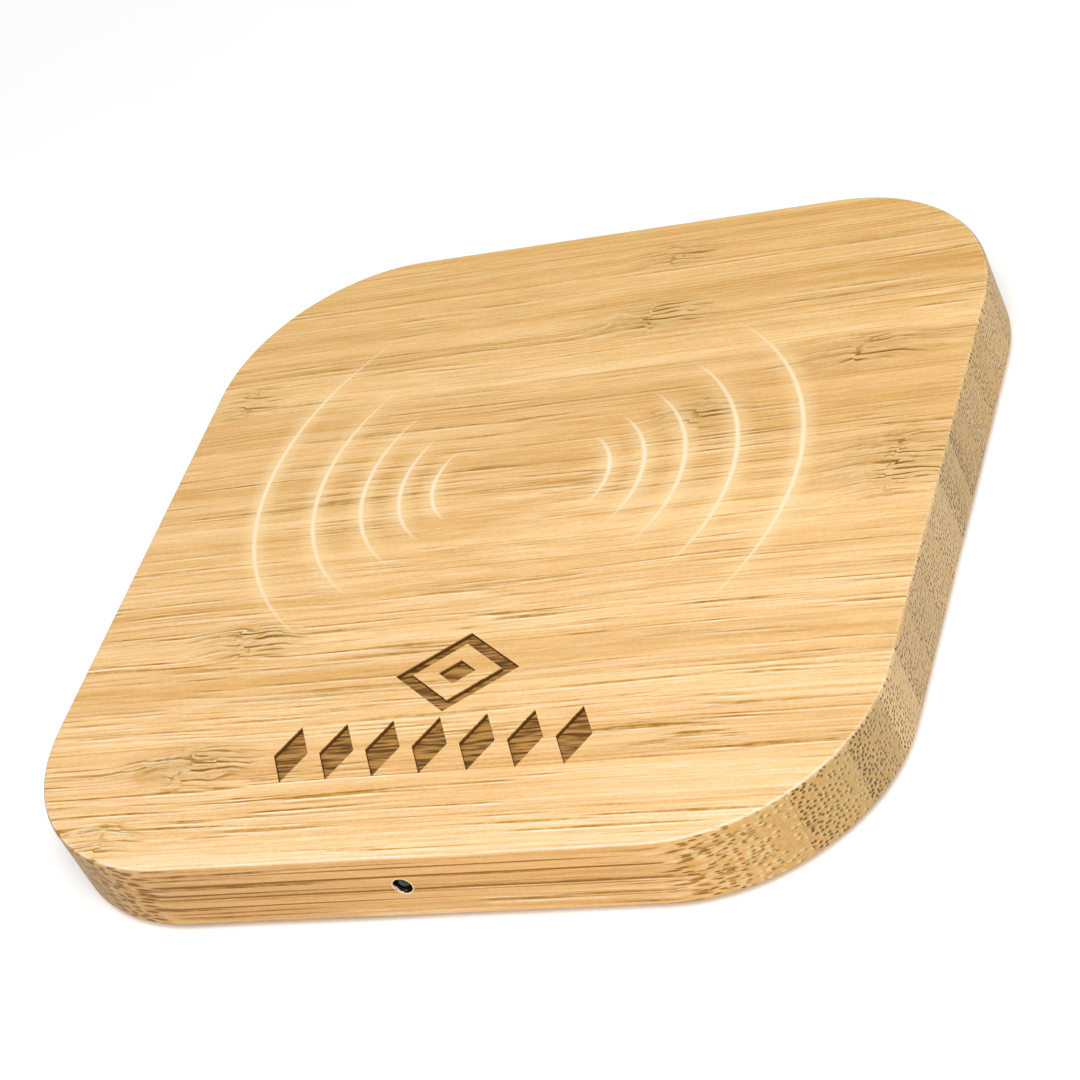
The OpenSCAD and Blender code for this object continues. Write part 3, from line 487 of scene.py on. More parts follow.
wave_core = 0.0
wave_halo = 0.0
for name, other, turn, longer in families:
    way = Vector((math.cos(math.radians(turn)), math.sin(math.radians(turn)), 0.0))
    inward = (placed[other] - placed[name]).normalized()
    for radius, step, span in zip(wave_radii, wave_steps, wave_spans):
        span = wave_span + (span - wave_span) * longer
        swing = math.radians(turn + wave_span - span)
        middle_way = (math.cos(swing), math.sin(swing), 0.0)
        centre = placed[name] * 1000 + inward * step - way * radius
        spoke, reach = from_axis(tree, place, centre, (1.0, 1.0, 0.0))
        unit = node(tree, "VectorMath", 0, {0: spoke}, operation="NORMALIZE")
        lean = node(tree, "VectorMath", "Value", {0: unit, 1: middle_way}, operation="DOT_PRODUCT")
        fade = node(tree, "MapRange", 0, {"Value": lean, "From Min": math.cos(math.radians(span))})
        gap = node(tree, "Math", 0, {0: reach, 1: radius}, operation="SUBTRACT")
        gap = node(tree, "Math", 0, {0: gap}, operation="ABSOLUTE")
        half = node(tree, "MapRange", 0, {"Value": fade, "To Min": wave_tip, "To Max": wave_width})
        core = node(tree, "MapRange", 0, {"Value": gap, "From Min": half, "From Max": 0.0},
                    interpolation_type="SMOOTHSTEP")
        strong = node(tree, "Math", 0, {0: fade, 1: 0.7}, operation="POWER")
        core = node(tree, "Math", 0, {0: core, 1: strong}, operation="MULTIPLY")
        # painted glow round the arc
        halo = node(tree, "MapRange", 0, {"Value": gap, "From Min": wave_spread, "From Max": 0.0},
                    interpolation_type="SMOOTHSTEP")
        halo = node(tree, "Math", 0, {0: halo, 1: fade}, operation="MULTIPLY")
        wave_core = node(tree, "Math", 0, {0: wave_core, 1: core}, operation="MAXIMUM")
        wave_halo = node(tree, "Math", 0, {0: wave_halo, 1: halo}, operation="MAXIMUM")
on_top = node(tree, "Math", 0, {0: height, 1: top_mm - 0.05}, operation="GREATER_THAN")
wave_core = node(tree, "Math", 0, {0: wave_core, 1: on_top}, operation="MULTIPLY")
wave_halo = node(tree, "Math", 0, {0: wave_halo, 1: on_top}, operation="MULTIPLY")
wave_halo = node(tree, "Math", 0, {0: wave_halo, 1: halo_level}, operation="MULTIPLY")
colour = node(tree, "Mix", 2, {0: wave_halo, 6: colour, 7: wave_glow}, data_type="RGBA")
colour = node(tree, "Mix", 2, {0: wave_core, 6: colour, 7: wave_white}, data_type="RGBA")

# the drilled bore of the status light is painted dark inside as painted shade, with pale specks on its lower
# left wall, and its rim carries a fine painted highlight
light_low, light_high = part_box("light_pipe")
pipe_r = 1.0
bore_middle = ((light_low.x + light_high.x) * 500, 0.0, light_high.z * 1000 - pipe_r)
bore_r = 1.1
front_mm = housing_low.y * 1000
bore_way, bore_reach = from_axis(tree, place, bore_middle, (1.0, 0.0, 1.0))
speck_side = node(tree, "VectorMath", "Value", {0: bore_way, 1: (-0.75, 0.0, -0.65)}, operation="DOT_PRODUCT")
speck_side = node(tree, "MapRange", 0, {"Value": speck_side, "From Min": 0.35, "From Max": 1.1, "To Max": 0.22})
bore_specks = node(tree, "TexNoise", "Fac", {"Vector": place, "Scale": 2.6, "Detail": 1.0, "Roughness": 0.5})
bore_specks = node(tree, "Math", 0, {0: bore_specks, 1: speck_side}, operation="ADD")
bore_specks = node(tree, "MapRange", 0, {"Value": bore_specks, "From Min": 0.70, "From Max": 0.80})
at_mouth = node(tree, "MapRange", 0, {"Value": across, "From Min": front_mm + 0.5,
                                      "From Max": front_mm + 0.25})
bore_specks = node(tree, "Math", 0, {0: bore_specks, 1: at_mouth}, operation="MULTIPLY")
# painted shade on the bore's wall
bore = node(tree, "MapRange", 0, {"Value": bore_reach, "From Min": bore_r + 0.06, "From Max": bore_r + 0.01})
behind = node(tree, "Math", 0, {0: across, 1: front_mm + 0.04}, operation="GREATER_THAN")
# painted highlight round the rim of the bore
rim_highlight = node(tree, "MapRange", 0, {"Value": bore_reach, "From Min": bore_r + 0.14, "From Max": bore_r + 0.04,
                                  "To Max": 0.7})
at_front = node(tree, "Math", 0, {0: across, 1: front_mm + 5.0}, operation="LESS_THAN")
rim_highlight = node(tree, "Math", 0, {0: rim_highlight, 1: at_front}, operation="MULTIPLY")
bore = node(tree, "Math", 0, {0: bore, 1: behind}, operation="MULTIPLY")
bore_shade_and_specks = node(tree, "Mix", 2, {0: bore_specks, 6: linear("#1d150d"), 7: linear("#e2cdb8")}, data_type="RGBA")
colour = node(tree, "Mix", 2, {0: rim_highlight, 6: colour, 7: cream}, data_type="RGBA")
colour = node(tree, "Mix", 2, {0: bore, 6: colour, 7: bore_shade_and_specks}, data_type="RGBA")

rough = node(tree, "MapRange", 0, {"Value": band, "To Min": 0.42, "To Max": 0.6})
relief = node(tree, "Math", 0, {0: dark, 1: -1.0, 2: pale}, operation="MULTIPLY_ADD")
relief = node(tree, "Math", 0, {0: mottle, 1: 0.8, 2: relief}, operation="MULTIPLY_ADD")
bump = node(tree, "Bump", 0, {"Height": relief, "Strength": 0.4, "Distance": 0.00002})
connect(tree, shader, {"Base Color": colour, "Roughness": rough, "IOR": 1.5, "Specular IOR Level": 0.25,
                       "Normal": bump})


def dress(name, material):
    """Puts a material on a CAD node."""
    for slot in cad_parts[name].material_slots:
        slot.material = material


dress("bamboo_housing", bamboo)

# ---------------------------------------------------------------- light pipe
# A rod of smoked acrylic, turned with a low dome and a foot, polished, and pressed into the bore from inside.
# It carries the status light to the front. Unlit, it is a dark glossy eye, as the cavity behind it is dark.


def waves(tree, distance, gap):
    """An even wave from -1 to 1 over a distance, with its crests a gap apart."""
    angle = node(tree, "Math", 0, {0: distance, 1: 2 * math.pi / gap}, operation="MULTIPLY")
    return node(tree, "Math", 0, {0: angle}, operation="SINE")


acrylic, tree, shader, place = start_material("polished_acrylic")
# polishing leaves it smoky clear and glossy, with faint turning rings on the dome
turning_gap = 0.12
pipe_reach = from_axis(tree, place, bore_middle, (1.0, 0.0, 1.0))[1]
turned = waves(tree, pipe_reach, turning_gap)
clouding = node(tree, "TexNoise", "Fac", {"Vector": place, "Scale": 1.5, "Detail": 3.0})
gloss = node(tree, "MapRange", 0, {"Value": clouding, "To Min": 0.02, "To Max": 0.10})
smoke = node(tree, "Mix", 2, {0: clouding, 6: linear("#6c7174"), 7: linear("#585d61")}, data_type="RGBA")
bump = node(tree, "Bump", 0, {"Height": turned, "Strength": 0.15, "Distance": 0.00001})
connect(tree, shader, {"Base Color": smoke, "Roughness": gloss, "IOR": 1.49, "Transmission Weight": 1.0,
                       "Specular IOR Level": 0.2, "Normal": bump})
dress("light_pipe", acrylic)

# ---------------------------------------------------------------- adhesive tapes
# Two die-cut pieces of double-sided tape: one sticks the coil under the bamboo, one lies between the base
# cover's ring and the ferrite. A tissue of paper fibre is soaked with acrylic glue.
tape, tree, shader, place = start_material("double_sided_tissue_tape")
# the glue gives a wet amber gloss, and the tissue shows as pale crossing fibres
tissue = 0.0
for spread in ((0.9, 3.2, 1.0), (3.0, 0.8, 1.0)):
    fibre = streaks(tree, place, spread, {"Detail": 4.0, "Distortion": 0.8})
    fibre = node(tree, "MapRange", 0, {"Value": fibre, "From Min": 0.50, "From Max": 0.62})
    tissue = node(tree, "Math", 0, {0: tissue, 1: fibre}, operation="MAXIMUM")
glue_colour = node(tree, "Mix", 2, {0: tissue, 6: linear("#c6a968"), 7: linear("#e6d7ab")}, data_type="RGBA")
wet = node(tree, "MapRange", 0, {"Value": tissue, "To Min": 0.28, "To Max": 0.55})
bump = node(tree, "Bump", 0, {"Height": tissue, "Strength": 0.4, "Distance": 0.00003})
connect(tree, shader, {"Base Color": glue_colour, "Roughness": wet, "IOR": 1.48, "Normal": bump})
dress("coil_tape", tape)
dress("shield_tape", tape)

# ---------------------------------------------------------------- transmitter coil
# Ten turns of litz wire: fine enamelled copper strands twisted together, wound flat on a bobbin and baked so
# that the turns hold. The inner end dips into the ferrite's slot and runs out under the turns.
coil_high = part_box("transmitter_coil")[1]
wire_r = 0.55
coil_pitch = 1.17
coil_r = 10.8
wire_z = coil_high.z * 1000 - wire_r
litz, tree, shader, place = start_material("enamelled_copper_litz")
# the strands lie round the wire as slanting threads, copper on their crowns and dark brown between them
coil_x, coil_y, coil_height = node(tree, "SeparateXYZ", None, {0: place})
coil_reach = from_axis(tree, place, (0.0, 0.0, 0.0), (1.0, 1.0, 0.0))[1]
coil_turn = node(tree, "Math", 0, {0: coil_y, 1: coil_x}, operation="ARCTAN2")
half_turn = node(tree, "Math", 0, {0: coil_turn, 1: -coil_pitch / (2 * math.pi), 2: coil_reach},
                 operation="MULTIPLY_ADD")
in_wire = node(tree, "Math", 0, {0: half_turn, 1: coil_r - coil_pitch / 2}, operation="SUBTRACT")
in_wire = node(tree, "Math", 0, {0: in_wire, 1: coil_pitch}, operation="FLOORED_MODULO")
in_wire = node(tree, "Math", 0, {0: in_wire, 1: coil_pitch / 2}, operation="SUBTRACT")
up_wire = node(tree, "Math", 0, {0: coil_height, 1: wire_z}, operation="SUBTRACT")
round_wire = node(tree, "Math", 0, {0: up_wire, 1: in_wire}, operation="ARCTAN2")
strands_round = 9.0
lays_a_turn = 54.0
thread = node(tree, "Math", 0, {0: round_wire, 1: strands_round}, operation="MULTIPLY")
thread = node(tree, "Math", 0, {0: coil_turn, 1: lays_a_turn, 2: thread}, operation="MULTIPLY_ADD")
thread = node(tree, "Math", 0, {0: thread}, operation="SINE")
crown = node(tree, "MapRange", 0, {"Value": thread, "From Min": -0.7, "From Max": 0.7})
enamel = node(tree, "TexNoise", "Fac", {"Vector": place, "Scale": 0.5, "Detail": 3.0})
copper = node(tree, "Mix", 2, {0: enamel, 6: linear("#c8753f"), 7: linear("#b3602f")}, data_type="RGBA")
copper = node(tree, "Mix", 2, {0: crown, 6: linear("#6b3016"), 7: copper}, data_type="RGBA")
lacquer = node(tree, "MapRange", 0, {"Value": enamel, "To Min": 0.28, "To Max": 0.42})
bump = node(tree, "Bump", 0, {"Height": crown, "Strength": 0.6, "Distance": 0.00005})
connect(tree, shader, {"Base Color": copper, "Metallic": 1.0, "Roughness": lacquer, "Coat Weight": 0.3,
                       "Coat Roughness": 0.15, "Normal": bump})
dress("transmitter_coil", litz)

# ---------------------------------------------------------------- ferrite shield
# A disc of soft manganese-zinc ferrite, pressed from powder, sintered and ground flat. It keeps the coil's
# field out of the electronics, and has a slot for the coil's inner lead.
ferrite, tree, shader, place = start_material("sintered_ferrite")
# sintering leaves a charcoal ceramic with a fine sparkle of grains, and grinding leaves faint straight marks
pores = node(tree, "TexVoronoi", "Distance", {"Vector": place, "Scale": 4.0})
clinker = node(tree, "TexNoise", "Fac", {"Vector": place, "Scale": 0.6, "Detail": 5.0, "Roughness": 0.7})
grinding = streaks(tree, place, (0.2, 6.0, 1.0), {"Detail": 3.0})
charcoal = node(tree, "Mix", 2, {0: clinker, 6: linear("#2a2a2c"), 7: linear("#434244")}, data_type="RGBA")
# painted shade in the pores
pore_shade = node(tree, "MapRange", 0, {"Value": pores, "From Min": 0.22, "From Max": 0.05, "To Max": 0.7})
charcoal = node(tree, "Mix", 2, {0: pore_shade, 6: charcoal, 7: linear("#161617")}, data_type="RGBA")
lustre = node(tree, "MapRange", 0, {"Value": grinding, "From Min": 0.3, "From Max": 0.7, "To Min": 0.38,
                                    "To Max": 0.6})
bump = node(tree, "Bump", 0, {"Height": grinding, "Strength": 0.3, "Distance": 0.00001})
connect(tree, shader, {"Base Color": charcoal, "Roughness": lustre, "IOR": 1.9, "Normal": bump})
dress("ferrite_shield", ferrite)

# ---------------------------------------------------------------- circuit board
# A ring of FR-4 glass-epoxy laminate with copper on both faces, under green solder mask. Four heat-staked
# pegs hold it on the base cover, round the ferrite.
laminate, tree, shader, place = start_material("masked_glass_epoxy")
# the mask is glossy and lighter over copper, with darker gaps between the pours, tinned vias whose holes are
# painted dark as painted shade, and a straw coloured sawn edge that shows the layers of glass cloth
pour_size = 6.25
vias_per_mm = 0.42
pour = node(tree, "TexVoronoi", "Distance", {"Vector": place, "Scale": 1 / pour_size, "Randomness": 0.8},
            voronoi_dimensions="2D", distance="CHEBYCHEV", feature="DISTANCE_TO_EDGE")
pour = node(tree, "MapRange", 0, {"Value": pour, "From Min": 0.018, "From Max": 0.03})
track_at = node(tree, "VectorMath", 0, {0: place, 1: (0.55, 0.55, 0.0)}, operation="MULTIPLY")
tracks = node(tree, "TexBrick", "Fac", {"Vector": track_at, "Scale": 1.0, "Mortar Size": 0.09,
                                        "Brick Width": 4.0, "Row Height": 0.5}, offset=0.37)
vias = node(tree, "TexVoronoi", None, {"Vector": place, "Scale": vias_per_mm}, voronoi_dimensions="2D")
via_chance = node(tree, "SeparateXYZ", 0, {0: vias["Color"]})
via_chance = node(tree, "Math", 0, {0: via_chance, 1: 0.35}, operation="LESS_THAN")
via_ring = node(tree, "MapRange", 0, {"Value": vias["Distance"], "From Min": 0.13, "From Max": 0.11})
# painted shade in the hole of each via
via_hole_shade = node(tree, "MapRange", 0, {"Value": vias["Distance"], "From Min": 0.06, "From Max": 0.05})
via_ring = node(tree, "Math", 0, {0: via_ring, 1: via_chance}, operation="MULTIPLY")
via_hole_shade = node(tree, "Math", 0, {0: via_hole_shade, 1: via_chance}, operation="MULTIPLY")
mask_green = node(tree, "Mix", 2, {0: pour, 6: linear("#0f3a22"), 7: linear("#1f6a3c")}, data_type="RGBA")
etched = node(tree, "Math", 0, {0: tracks, 1: 0.55}, operation="MULTIPLY")
mask_green = node(tree, "Mix", 2, {0: etched, 6: mask_green, 7: linear("#11402a")}, data_type="RGBA")
mask_green = node(tree, "Mix", 2, {0: via_ring, 6: mask_green, 7: linear("#c9c6b4")}, data_type="RGBA")
mask_green = node(tree, "Mix", 2, {0: via_hole_shade, 6: mask_green, 7: linear("#2a2a26")}, data_type="RGBA")
cloth_gap = 0.18
board_height = node(tree, "SeparateXYZ", 2, {0: place})
cloth = node(tree, "MapRange", 0, {"Value": waves(tree, board_height, cloth_gap), "From Min": -1.0})
sawn = node(tree, "Mix", 2, {0: cloth, 6: linear("#8f7f45"), 7: linear("#c8b878")}, data_type="RGBA")
board_normal = node(tree, "TexCoord", "Normal", {})
board_up = node(tree, "SeparateXYZ", 2, {0: board_normal})
board_up = node(tree, "Math", 0, {0: board_up}, operation="ABSOLUTE")
board_flat = node(tree, "Math", 0, {0: board_up, 1: 0.5}, operation="GREATER_THAN")
board_colour = node(tree, "Mix", 2, {0: board_flat, 6: sawn, 7: mask_green}, data_type="RGBA")
board_rough = node(tree, "MapRange", 0, {"Value": board_flat, "To Min": 0.75, "To Max": 0.25})
bump = node(tree, "Bump", 0, {"Height": pour, "Strength": 0.5, "Distance": 0.00003})
connect(tree, shader, {"Base Color": board_colour, "Roughness": board_rough, "IOR": 1.55, "Normal": bump})
dress("circuit_board", laminate)

# ---------------------------------------------------------------- power inlet
# A mid-mount receptacle: a shell deep-drawn from stainless strip, whose legs are soldered in the board, round
# a liquid-crystal-polymer block and tongue that carry two rows of stamped, gold-plated contacts.
steel, tree, shader, place = start_material("drawn_stainless_steel")
# drawing leaves fine bright lines along the shell
drawn = streaks(tree, place, (7.0, 0.35, 7.0), {"Detail": 3.0})
steel_colour = node(tree, "Mix", 2, {0: drawn, 6: linear("#a9a8a4"), 7: linear("#cfcdc8")}, data_type="RGBA")
steel_rough = node(tree, "MapRange", 0, {"Value": drawn, "From Min": 0.3, "From Max": 0.7, "To Min": 0.22,
                                         "To Max": 0.36})
bump = node(tree, "Bump", 0, {"Height": drawn, "Strength": 0.25, "Distance": 0.00001})
connect(tree, shader, {"Base Color": steel_colour, "Metallic": 1.0, "Roughness": steel_rough, "Normal": bump})
dress("usb_shell", steel)

polymer, tree, shader, place = start_material("moulded_crystal_polymer")
# this stiff plastic flows in bands as it fills the mould, so it is satin black with greyish streaks
flow = streaks(tree, place, (2.5, 0.6, 5.0), {"Detail": 4.0, "Distortion": 0.5})
polymer_colour = node(tree, "Mix", 2, {0: flow, 6: linear("#121213"), 7: linear("#2c2c2e")}, data_type="RGBA")
polymer_rough = node(tree, "MapRange", 0, {"Value": flow, "To Min": 0.35, "To Max": 0.6})
connect(tree, shader, {"Base Color": polymer_colour, "Roughness": polymer_rough, "IOR": 1.65})
dress("usb_insulator", polymer)

gold, tree, shader, place = start_material("gold_plated_bronze")
# the wiped blades are gold, with fine stamping marks along them, and the feet are wetted with tin
feet_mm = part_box("usb_contacts")[0].z * 1000
gold_height = node(tree, "SeparateXYZ", 2, {0: place})
stamped = streaks(tree, place, (12.0, 0.8, 6.0), {"Detail": 2.0})
plated = node(tree, "Mix", 2, {0: stamped, 6: linear("#c99a3e"), 7: linear("#f0cb74")}, data_type="RGBA")
wetted = node(tree, "MapRange", 0, {"Value": gold_height, "From Min": feet_mm + 0.35,
                                    "From Max": feet_mm + 0.15})
plated = node(tree, "Mix", 2, {0: wetted, 6: plated, 7: linear("#c4c5c6")}, data_type="RGBA")
gold_rough = node(tree, "MapRange", 0, {"Value": stamped, "To Min": 0.15, "To Max": 0.35})
connect(tree, shader, {"Base Color": plated, "Metallic": 1.0, "Roughness": gold_rough})
dress("usb_contacts", gold)

# ---------------------------------------------------------------- status light
# A 1.6 by 0.8 mm light-emitting diode: a white resin base with gold ends, and a clear lens cast over the die.
led_low, led_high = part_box("status_led")
led_step = (led_low.z + led_high.z) * 500
lens_half = 0.56
package, tree, shader, place = start_material("cast_epoxy_package")
# the base is chalky white, the lens milky and glossy, and the ends are plated
led_parts = node(tree, "SeparateXYZ", None, {0: place})
lens = node(tree, "Math", 0, {0: led_parts[2], 1: led_step - 0.01}, operation="GREATER_THAN")
led_side = node(tree, "Math", 0, {0: led_parts[0]}, operation="ABSOLUTE")
led_end = node(tree, "Math", 0, {0: led_side, 1: lens_half}, operation="GREATER_THAN")
chalk = node(tree, "TexNoise", "Fac", {"Vector": place, "Scale": 6.0, "Detail": 3.0})
resin = node(tree, "Mix", 2, {0: chalk, 6: linear("#e3e0d0"), 7: linear("#f4f2e8")}, data_type="RGBA")
resin = node(tree, "Mix", 2, {0: lens, 6: resin, 7: linear("#eee6b4")}, data_type="RGBA")
resin = node(tree, "Mix", 2, {0: led_end, 6: resin, 7: linear("#e0b55f")}, data_type="RGBA")
led_rough = node(tree, "MapRange", 0, {"Value": lens, "To Min": 0.55, "To Max": 0.15})
connect(tree, shader, {"Base Color": resin, "Metallic": led_end, "Roughness": led_rough})
dress("status_led", package)

# ---------------------------------------------------------------- moulded chips
# The controller, the two bridge transistors and the voltage regulator: dies on copper lead frames, moulded in
# black epoxy, with tinned gull-wing leads that are reflow-soldered on the board's top.


def beyond(tree, value, middle, fold, half):
    """1 where a coordinate is more than half away from either of two middles, which lie fold to each side."""
    far = node(tree, "Math", 0, {0: value, 1: middle}, operation="SUBTRACT")
    far = node(tree, "Math", 0, {0: far}, operation="ABSOLUTE")
    far = node(tree, "Math", 0, {0: far, 1: fold}, operation="SUBTRACT")
    far = node(tree, "Math", 0, {0: far}, operation="ABSOLUTE")
    return node(tree, "Math", 0, {0: far, 1: half}, operation="GREATER_THAN")


# the body's own end faces are kept out of the leads by a hair
just_outside = 0.005
# node, axis across the leads, half the body on it, half the span over the leads
for name, axis, body_half, span_half in (("controller_chip", 0, 2.2, 3.2),
                                         ("bridge_transistors", 0, 1.95, 3.0),
                                         ("voltage_regulator", 1, 0.8, 1.4)):
    chip_low, chip_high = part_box(name)
    chip_middle = (chip_low[axis] + chip_high[axis]) * 500
    chip_fold = (chip_high[axis] - chip_low[axis]) * 500 - span_half
    epoxy, tree, shader, place = start_material("moulded_epoxy_" + name)
    # a spark-eroded mould leaves the body matt near-black with a fine even grain; the leads are satin tin
    chip_parts = node(tree, "SeparateXYZ", None, {0: place})
    leads = beyond(tree, chip_parts[axis], chip_middle, chip_fold, body_half + just_outside)
    grit = node(tree, "TexNoise", "Fac", {"Vector": place, "Scale": 9.0, "Detail": 3.0, "Roughness": 0.7})
    moulded = node(tree, "Mix", 2, {0: grit, 6: linear("#19191b"), 7: linear("#38383a")}, data_type="RGBA")
    tinned = node(tree, "Mix", 2, {0: grit, 6: linear("#aeb0b2"), 7: linear("#cfd1d2")}, data_type="RGBA")
    chip_colour = node(tree, "Mix", 2, {0: leads, 6: moulded, 7: tinned}, data_type="RGBA")
    chip_rough = node(tree, "MapRange", 0, {"Value": leads, "To Min": 0.68, "To Max": 0.34})
    bump = node(tree, "Bump", 0, {"Height": grit, "Strength": 0.3, "Distance": 0.00002})
    connect(tree, shader, {"Base Color": chip_colour, "Metallic": leads, "Roughness": chip_rough,
                           "Normal": bump})
    dress(name, epoxy)

# ---------------------------------------------------------------- ceramic capacitors
# Stacks of barium titanate and nickel films fired as one block, with ends dipped in silver and plated with
# tin: four resonant ones beside the coil, two at the inlet and ten small ones.


def plated_ends(tree, place, low, high, axis, side, body_half):
    """1 on the plated ends of a node's chips, which lie along an axis. Small chips are given a side: they lie
    along Y in a row at the front of the board, and along X in two columns behind it, at that side."""
    parts = node(tree, "SeparateXYZ", None, {0: place})
    if side == 0:
        return beyond(tree, parts[axis], (low[axis] + high[axis]) * 500, 0.0, body_half)
    row_middle = low.y * 1000 + 0.8
    row_back = low.y * 1000 + 4.0
    columns_middle = high.x * 1000 - 2.4 if side > 0 else low.x * 1000 + 2.4
    column_out = 1.6
    column_ends = beyond(tree, parts[0], columns_middle, column_out, body_half)
    row_ends = beyond(tree, parts[1], row_middle, 0.0, body_half)
    in_row = node(tree, "Math", 0, {0: parts[1], 1: row_back}, operation="LESS_THAN")
    return node(tree, "Mix", 0, {0: in_row, 2: column_ends, 3: row_ends})


# node, axis of its chips, side of its columns, half the body between the ends
for name, axis, side, body_half in (("resonant_capacitors", 0, 0, 0.96), ("input_capacitors", 1, 0, 0.96),
                                    ("chip_capacitors", 0, 1, 0.48)):
    chip_low, chip_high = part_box(name)
    ceramic, tree, shader, place = start_material("fired_" + name)
    # firing leaves a smooth tan stone with cloudy patches and darker flecks; the tin is frosted silver
    ends = plated_ends(tree, place, chip_low, chip_high, axis, side, body_half)
    cloud = node(tree, "TexNoise", "Fac", {"Vector": place, "Scale": 1.2, "Detail": 4.0})
    fleck = node(tree, "TexVoronoi", "Distance", {"Vector": place, "Scale": 6.0})
    fleck = node(tree, "MapRange", 0, {"Value": fleck, "From Min": 0.2, "From Max": 0.08, "To Max": 0.5})
    stone = node(tree, "Mix", 2, {0: cloud, 6: linear("#a3815a"), 7: linear("#bd9c74")}, data_type="RGBA")
    stone = node(tree, "Mix", 2, {0: fleck, 6: stone, 7: linear("#7b5c3c")}, data_type="RGBA")
    frosted = node(tree, "Mix", 2, {0: cloud, 6: linear("#b4b4b2"), 7: linear("#d6d6d4")}, data_type="RGBA")
    chip_colour = node(tree, "Mix", 2, {0: ends, 6: stone, 7: frosted}, data_type="RGBA")
    chip_rough = node(tree, "MapRange", 0, {"Value": cloud, "To Min": 0.34, "To Max": 0.5})
    connect(tree, shader, {"Base Color": chip_colour, "Metallic": ends, "Roughness": chip_rough})
    dress(name, ceramic)

# ---------------------------------------------------------------- input choke
# A drum of ferrite with a coil of enamelled wire inside a square ferrite sleeve, glued with a ring of epoxy
# that shows as a groove in the top. It smooths the current from the inlet.
choke_low, choke_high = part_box("input_choke")
choke_middle = (choke_low + choke_high) * 500
groove_r = 1.95
groove_half = 0.15
ground_gap = 0.2
choke_tinned = 0.25
drum, tree, shader, place = start_material("ground_ferrite_drum")
# the top is ground dull grey in rings, the glue in the groove is glossy brown, and tin wets the foot
choke_reach = from_axis(tree, place, choke_middle, (1.0, 1.0, 0.0))[1]
choke_height = node(tree, "SeparateXYZ", 2, {0: place})
off_groove = beyond(tree, choke_reach, groove_r, 0.0, groove_half)
choke_rings = waves(tree, choke_reach, ground_gap)
drum_grain = node(tree, "TexNoise", "Fac", {"Vector": place, "Scale": 5.0, "Detail": 4.0, "Roughness": 0.7})
drum_colour = node(tree, "Mix", 2, {0: drum_grain, 6: linear("#3b3b3e"), 7: linear("#5b5b5e")},
                   data_type="RGBA")
drum_colour = node(tree, "Mix", 2, {0: off_groove, 6: linear("#3a2416"), 7: drum_colour}, data_type="RGBA")
choke_foot = node(tree, "Math", 0, {0: choke_height, 1: choke_low.z * 1000 + choke_tinned},
                  operation="LESS_THAN")
drum_colour = node(tree, "Mix", 2, {0: choke_foot, 6: drum_colour, 7: linear("#c0c1c2")}, data_type="RGBA")
drum_rough = node(tree, "MapRange", 0, {"Value": off_groove, "To Min": 0.2, "To Max": 0.55})
bump = node(tree, "Bump", 0, {"Height": choke_rings, "Strength": 0.2, "Distance": 0.00001})
connect(tree, shader, {"Base Color": drum_colour, "Metallic": choke_foot, "Roughness": drum_rough,
                       "Normal": bump})
dress("input_choke", drum)

# ---------------------------------------------------------------- resistors and thermistor
# White alumina slips with a film of ruthenium oxide under black glass on top, and tinned ends. The sense
# resistor is the long one; the thermistor, beside the coil, is a block of dark oxide with the same ends.
glass_deep = 0.12
# node, axis of its chips, side of its columns, half the body between the ends
for name, axis, side, body_half in (("chip_resistors", 0, -1, 0.48), ("sense_resistor", 1, 0, 0.96),
                                    ("thermistor", 0, 0, 0.48)):
    chip_low, chip_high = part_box(name)
    slip, tree, shader, place = start_material("glazed_" + name)
    # glossy black on top, chalky white on the sawn sides, frosted silver at the ends
    ends = plated_ends(tree, place, chip_low, chip_high, axis, side, body_half)
    chip_height = node(tree, "SeparateXYZ", 2, {0: place})
    on_glass = node(tree, "Math", 0, {0: chip_height, 1: chip_high.z * 1000 - glass_deep},
                    operation="GREATER_THAN")
    powder = node(tree, "TexNoise", "Fac", {"Vector": place, "Scale": 7.0, "Detail": 3.0})
    side_code = "#3c3b3a" if name == "thermistor" else "#e4e1d6"
    sides = node(tree, "Mix", 2, {0: powder, 6: linear(side_code), 7: linear("#cfccc2")}, data_type="RGBA")
    glass = node(tree, "Mix", 2, {0: powder, 6: linear("#0e0e10"), 7: linear("#202022")}, data_type="RGBA")
    chip_colour = node(tree, "Mix", 2, {0: on_glass, 6: sides, 7: glass}, data_type="RGBA")
    chip_colour = node(tree, "Mix", 2, {0: ends, 6: chip_colour, 7: linear("#c6c6c4")}, data_type="RGBA")
    chip_rough = node(tree, "MapRange", 0, {"Value": powder, "To Min": 0.22, "To Max": 0.42})
    connect(tree, shader, {"Base Color": chip_colour, "Metallic": ends, "Roughness": chip_rough})
    dress(name, slip)

# ---------------------------------------------------------------- solder of the coil leads
# Two cones of tin solder, made by hand with an iron, where the coil's stripped ends meet the board.
solder, tree, shader, place = start_material("hand_soldered_tin")
# tin sets bright and slightly rippled, with dull frosting in patches
frost = node(tree, "TexNoise", "Fac", {"Vector": place, "Scale": 2.2, "Detail": 4.0, "Roughness": 0.6})
tin = node(tree, "Mix", 2, {0: frost, 6: linear("#b7b9bb"), 7: linear("#dedfe0")}, data_type="RGBA")
tin_rough = node(tree, "MapRange", 0, {"Value": frost, "From Min": 0.3, "From Max": 0.7, "To Min": 0.12,
                                       "To Max": 0.42})
bump = node(tree, "Bump", 0, {"Height": frost, "Strength": 0.4, "Distance": 0.00005})
connect(tree, shader, {"Base Color": tin, "Metallic": 1.0, "Roughness": tin_rough, "Normal": bump})
dress("coil_solder", solder)

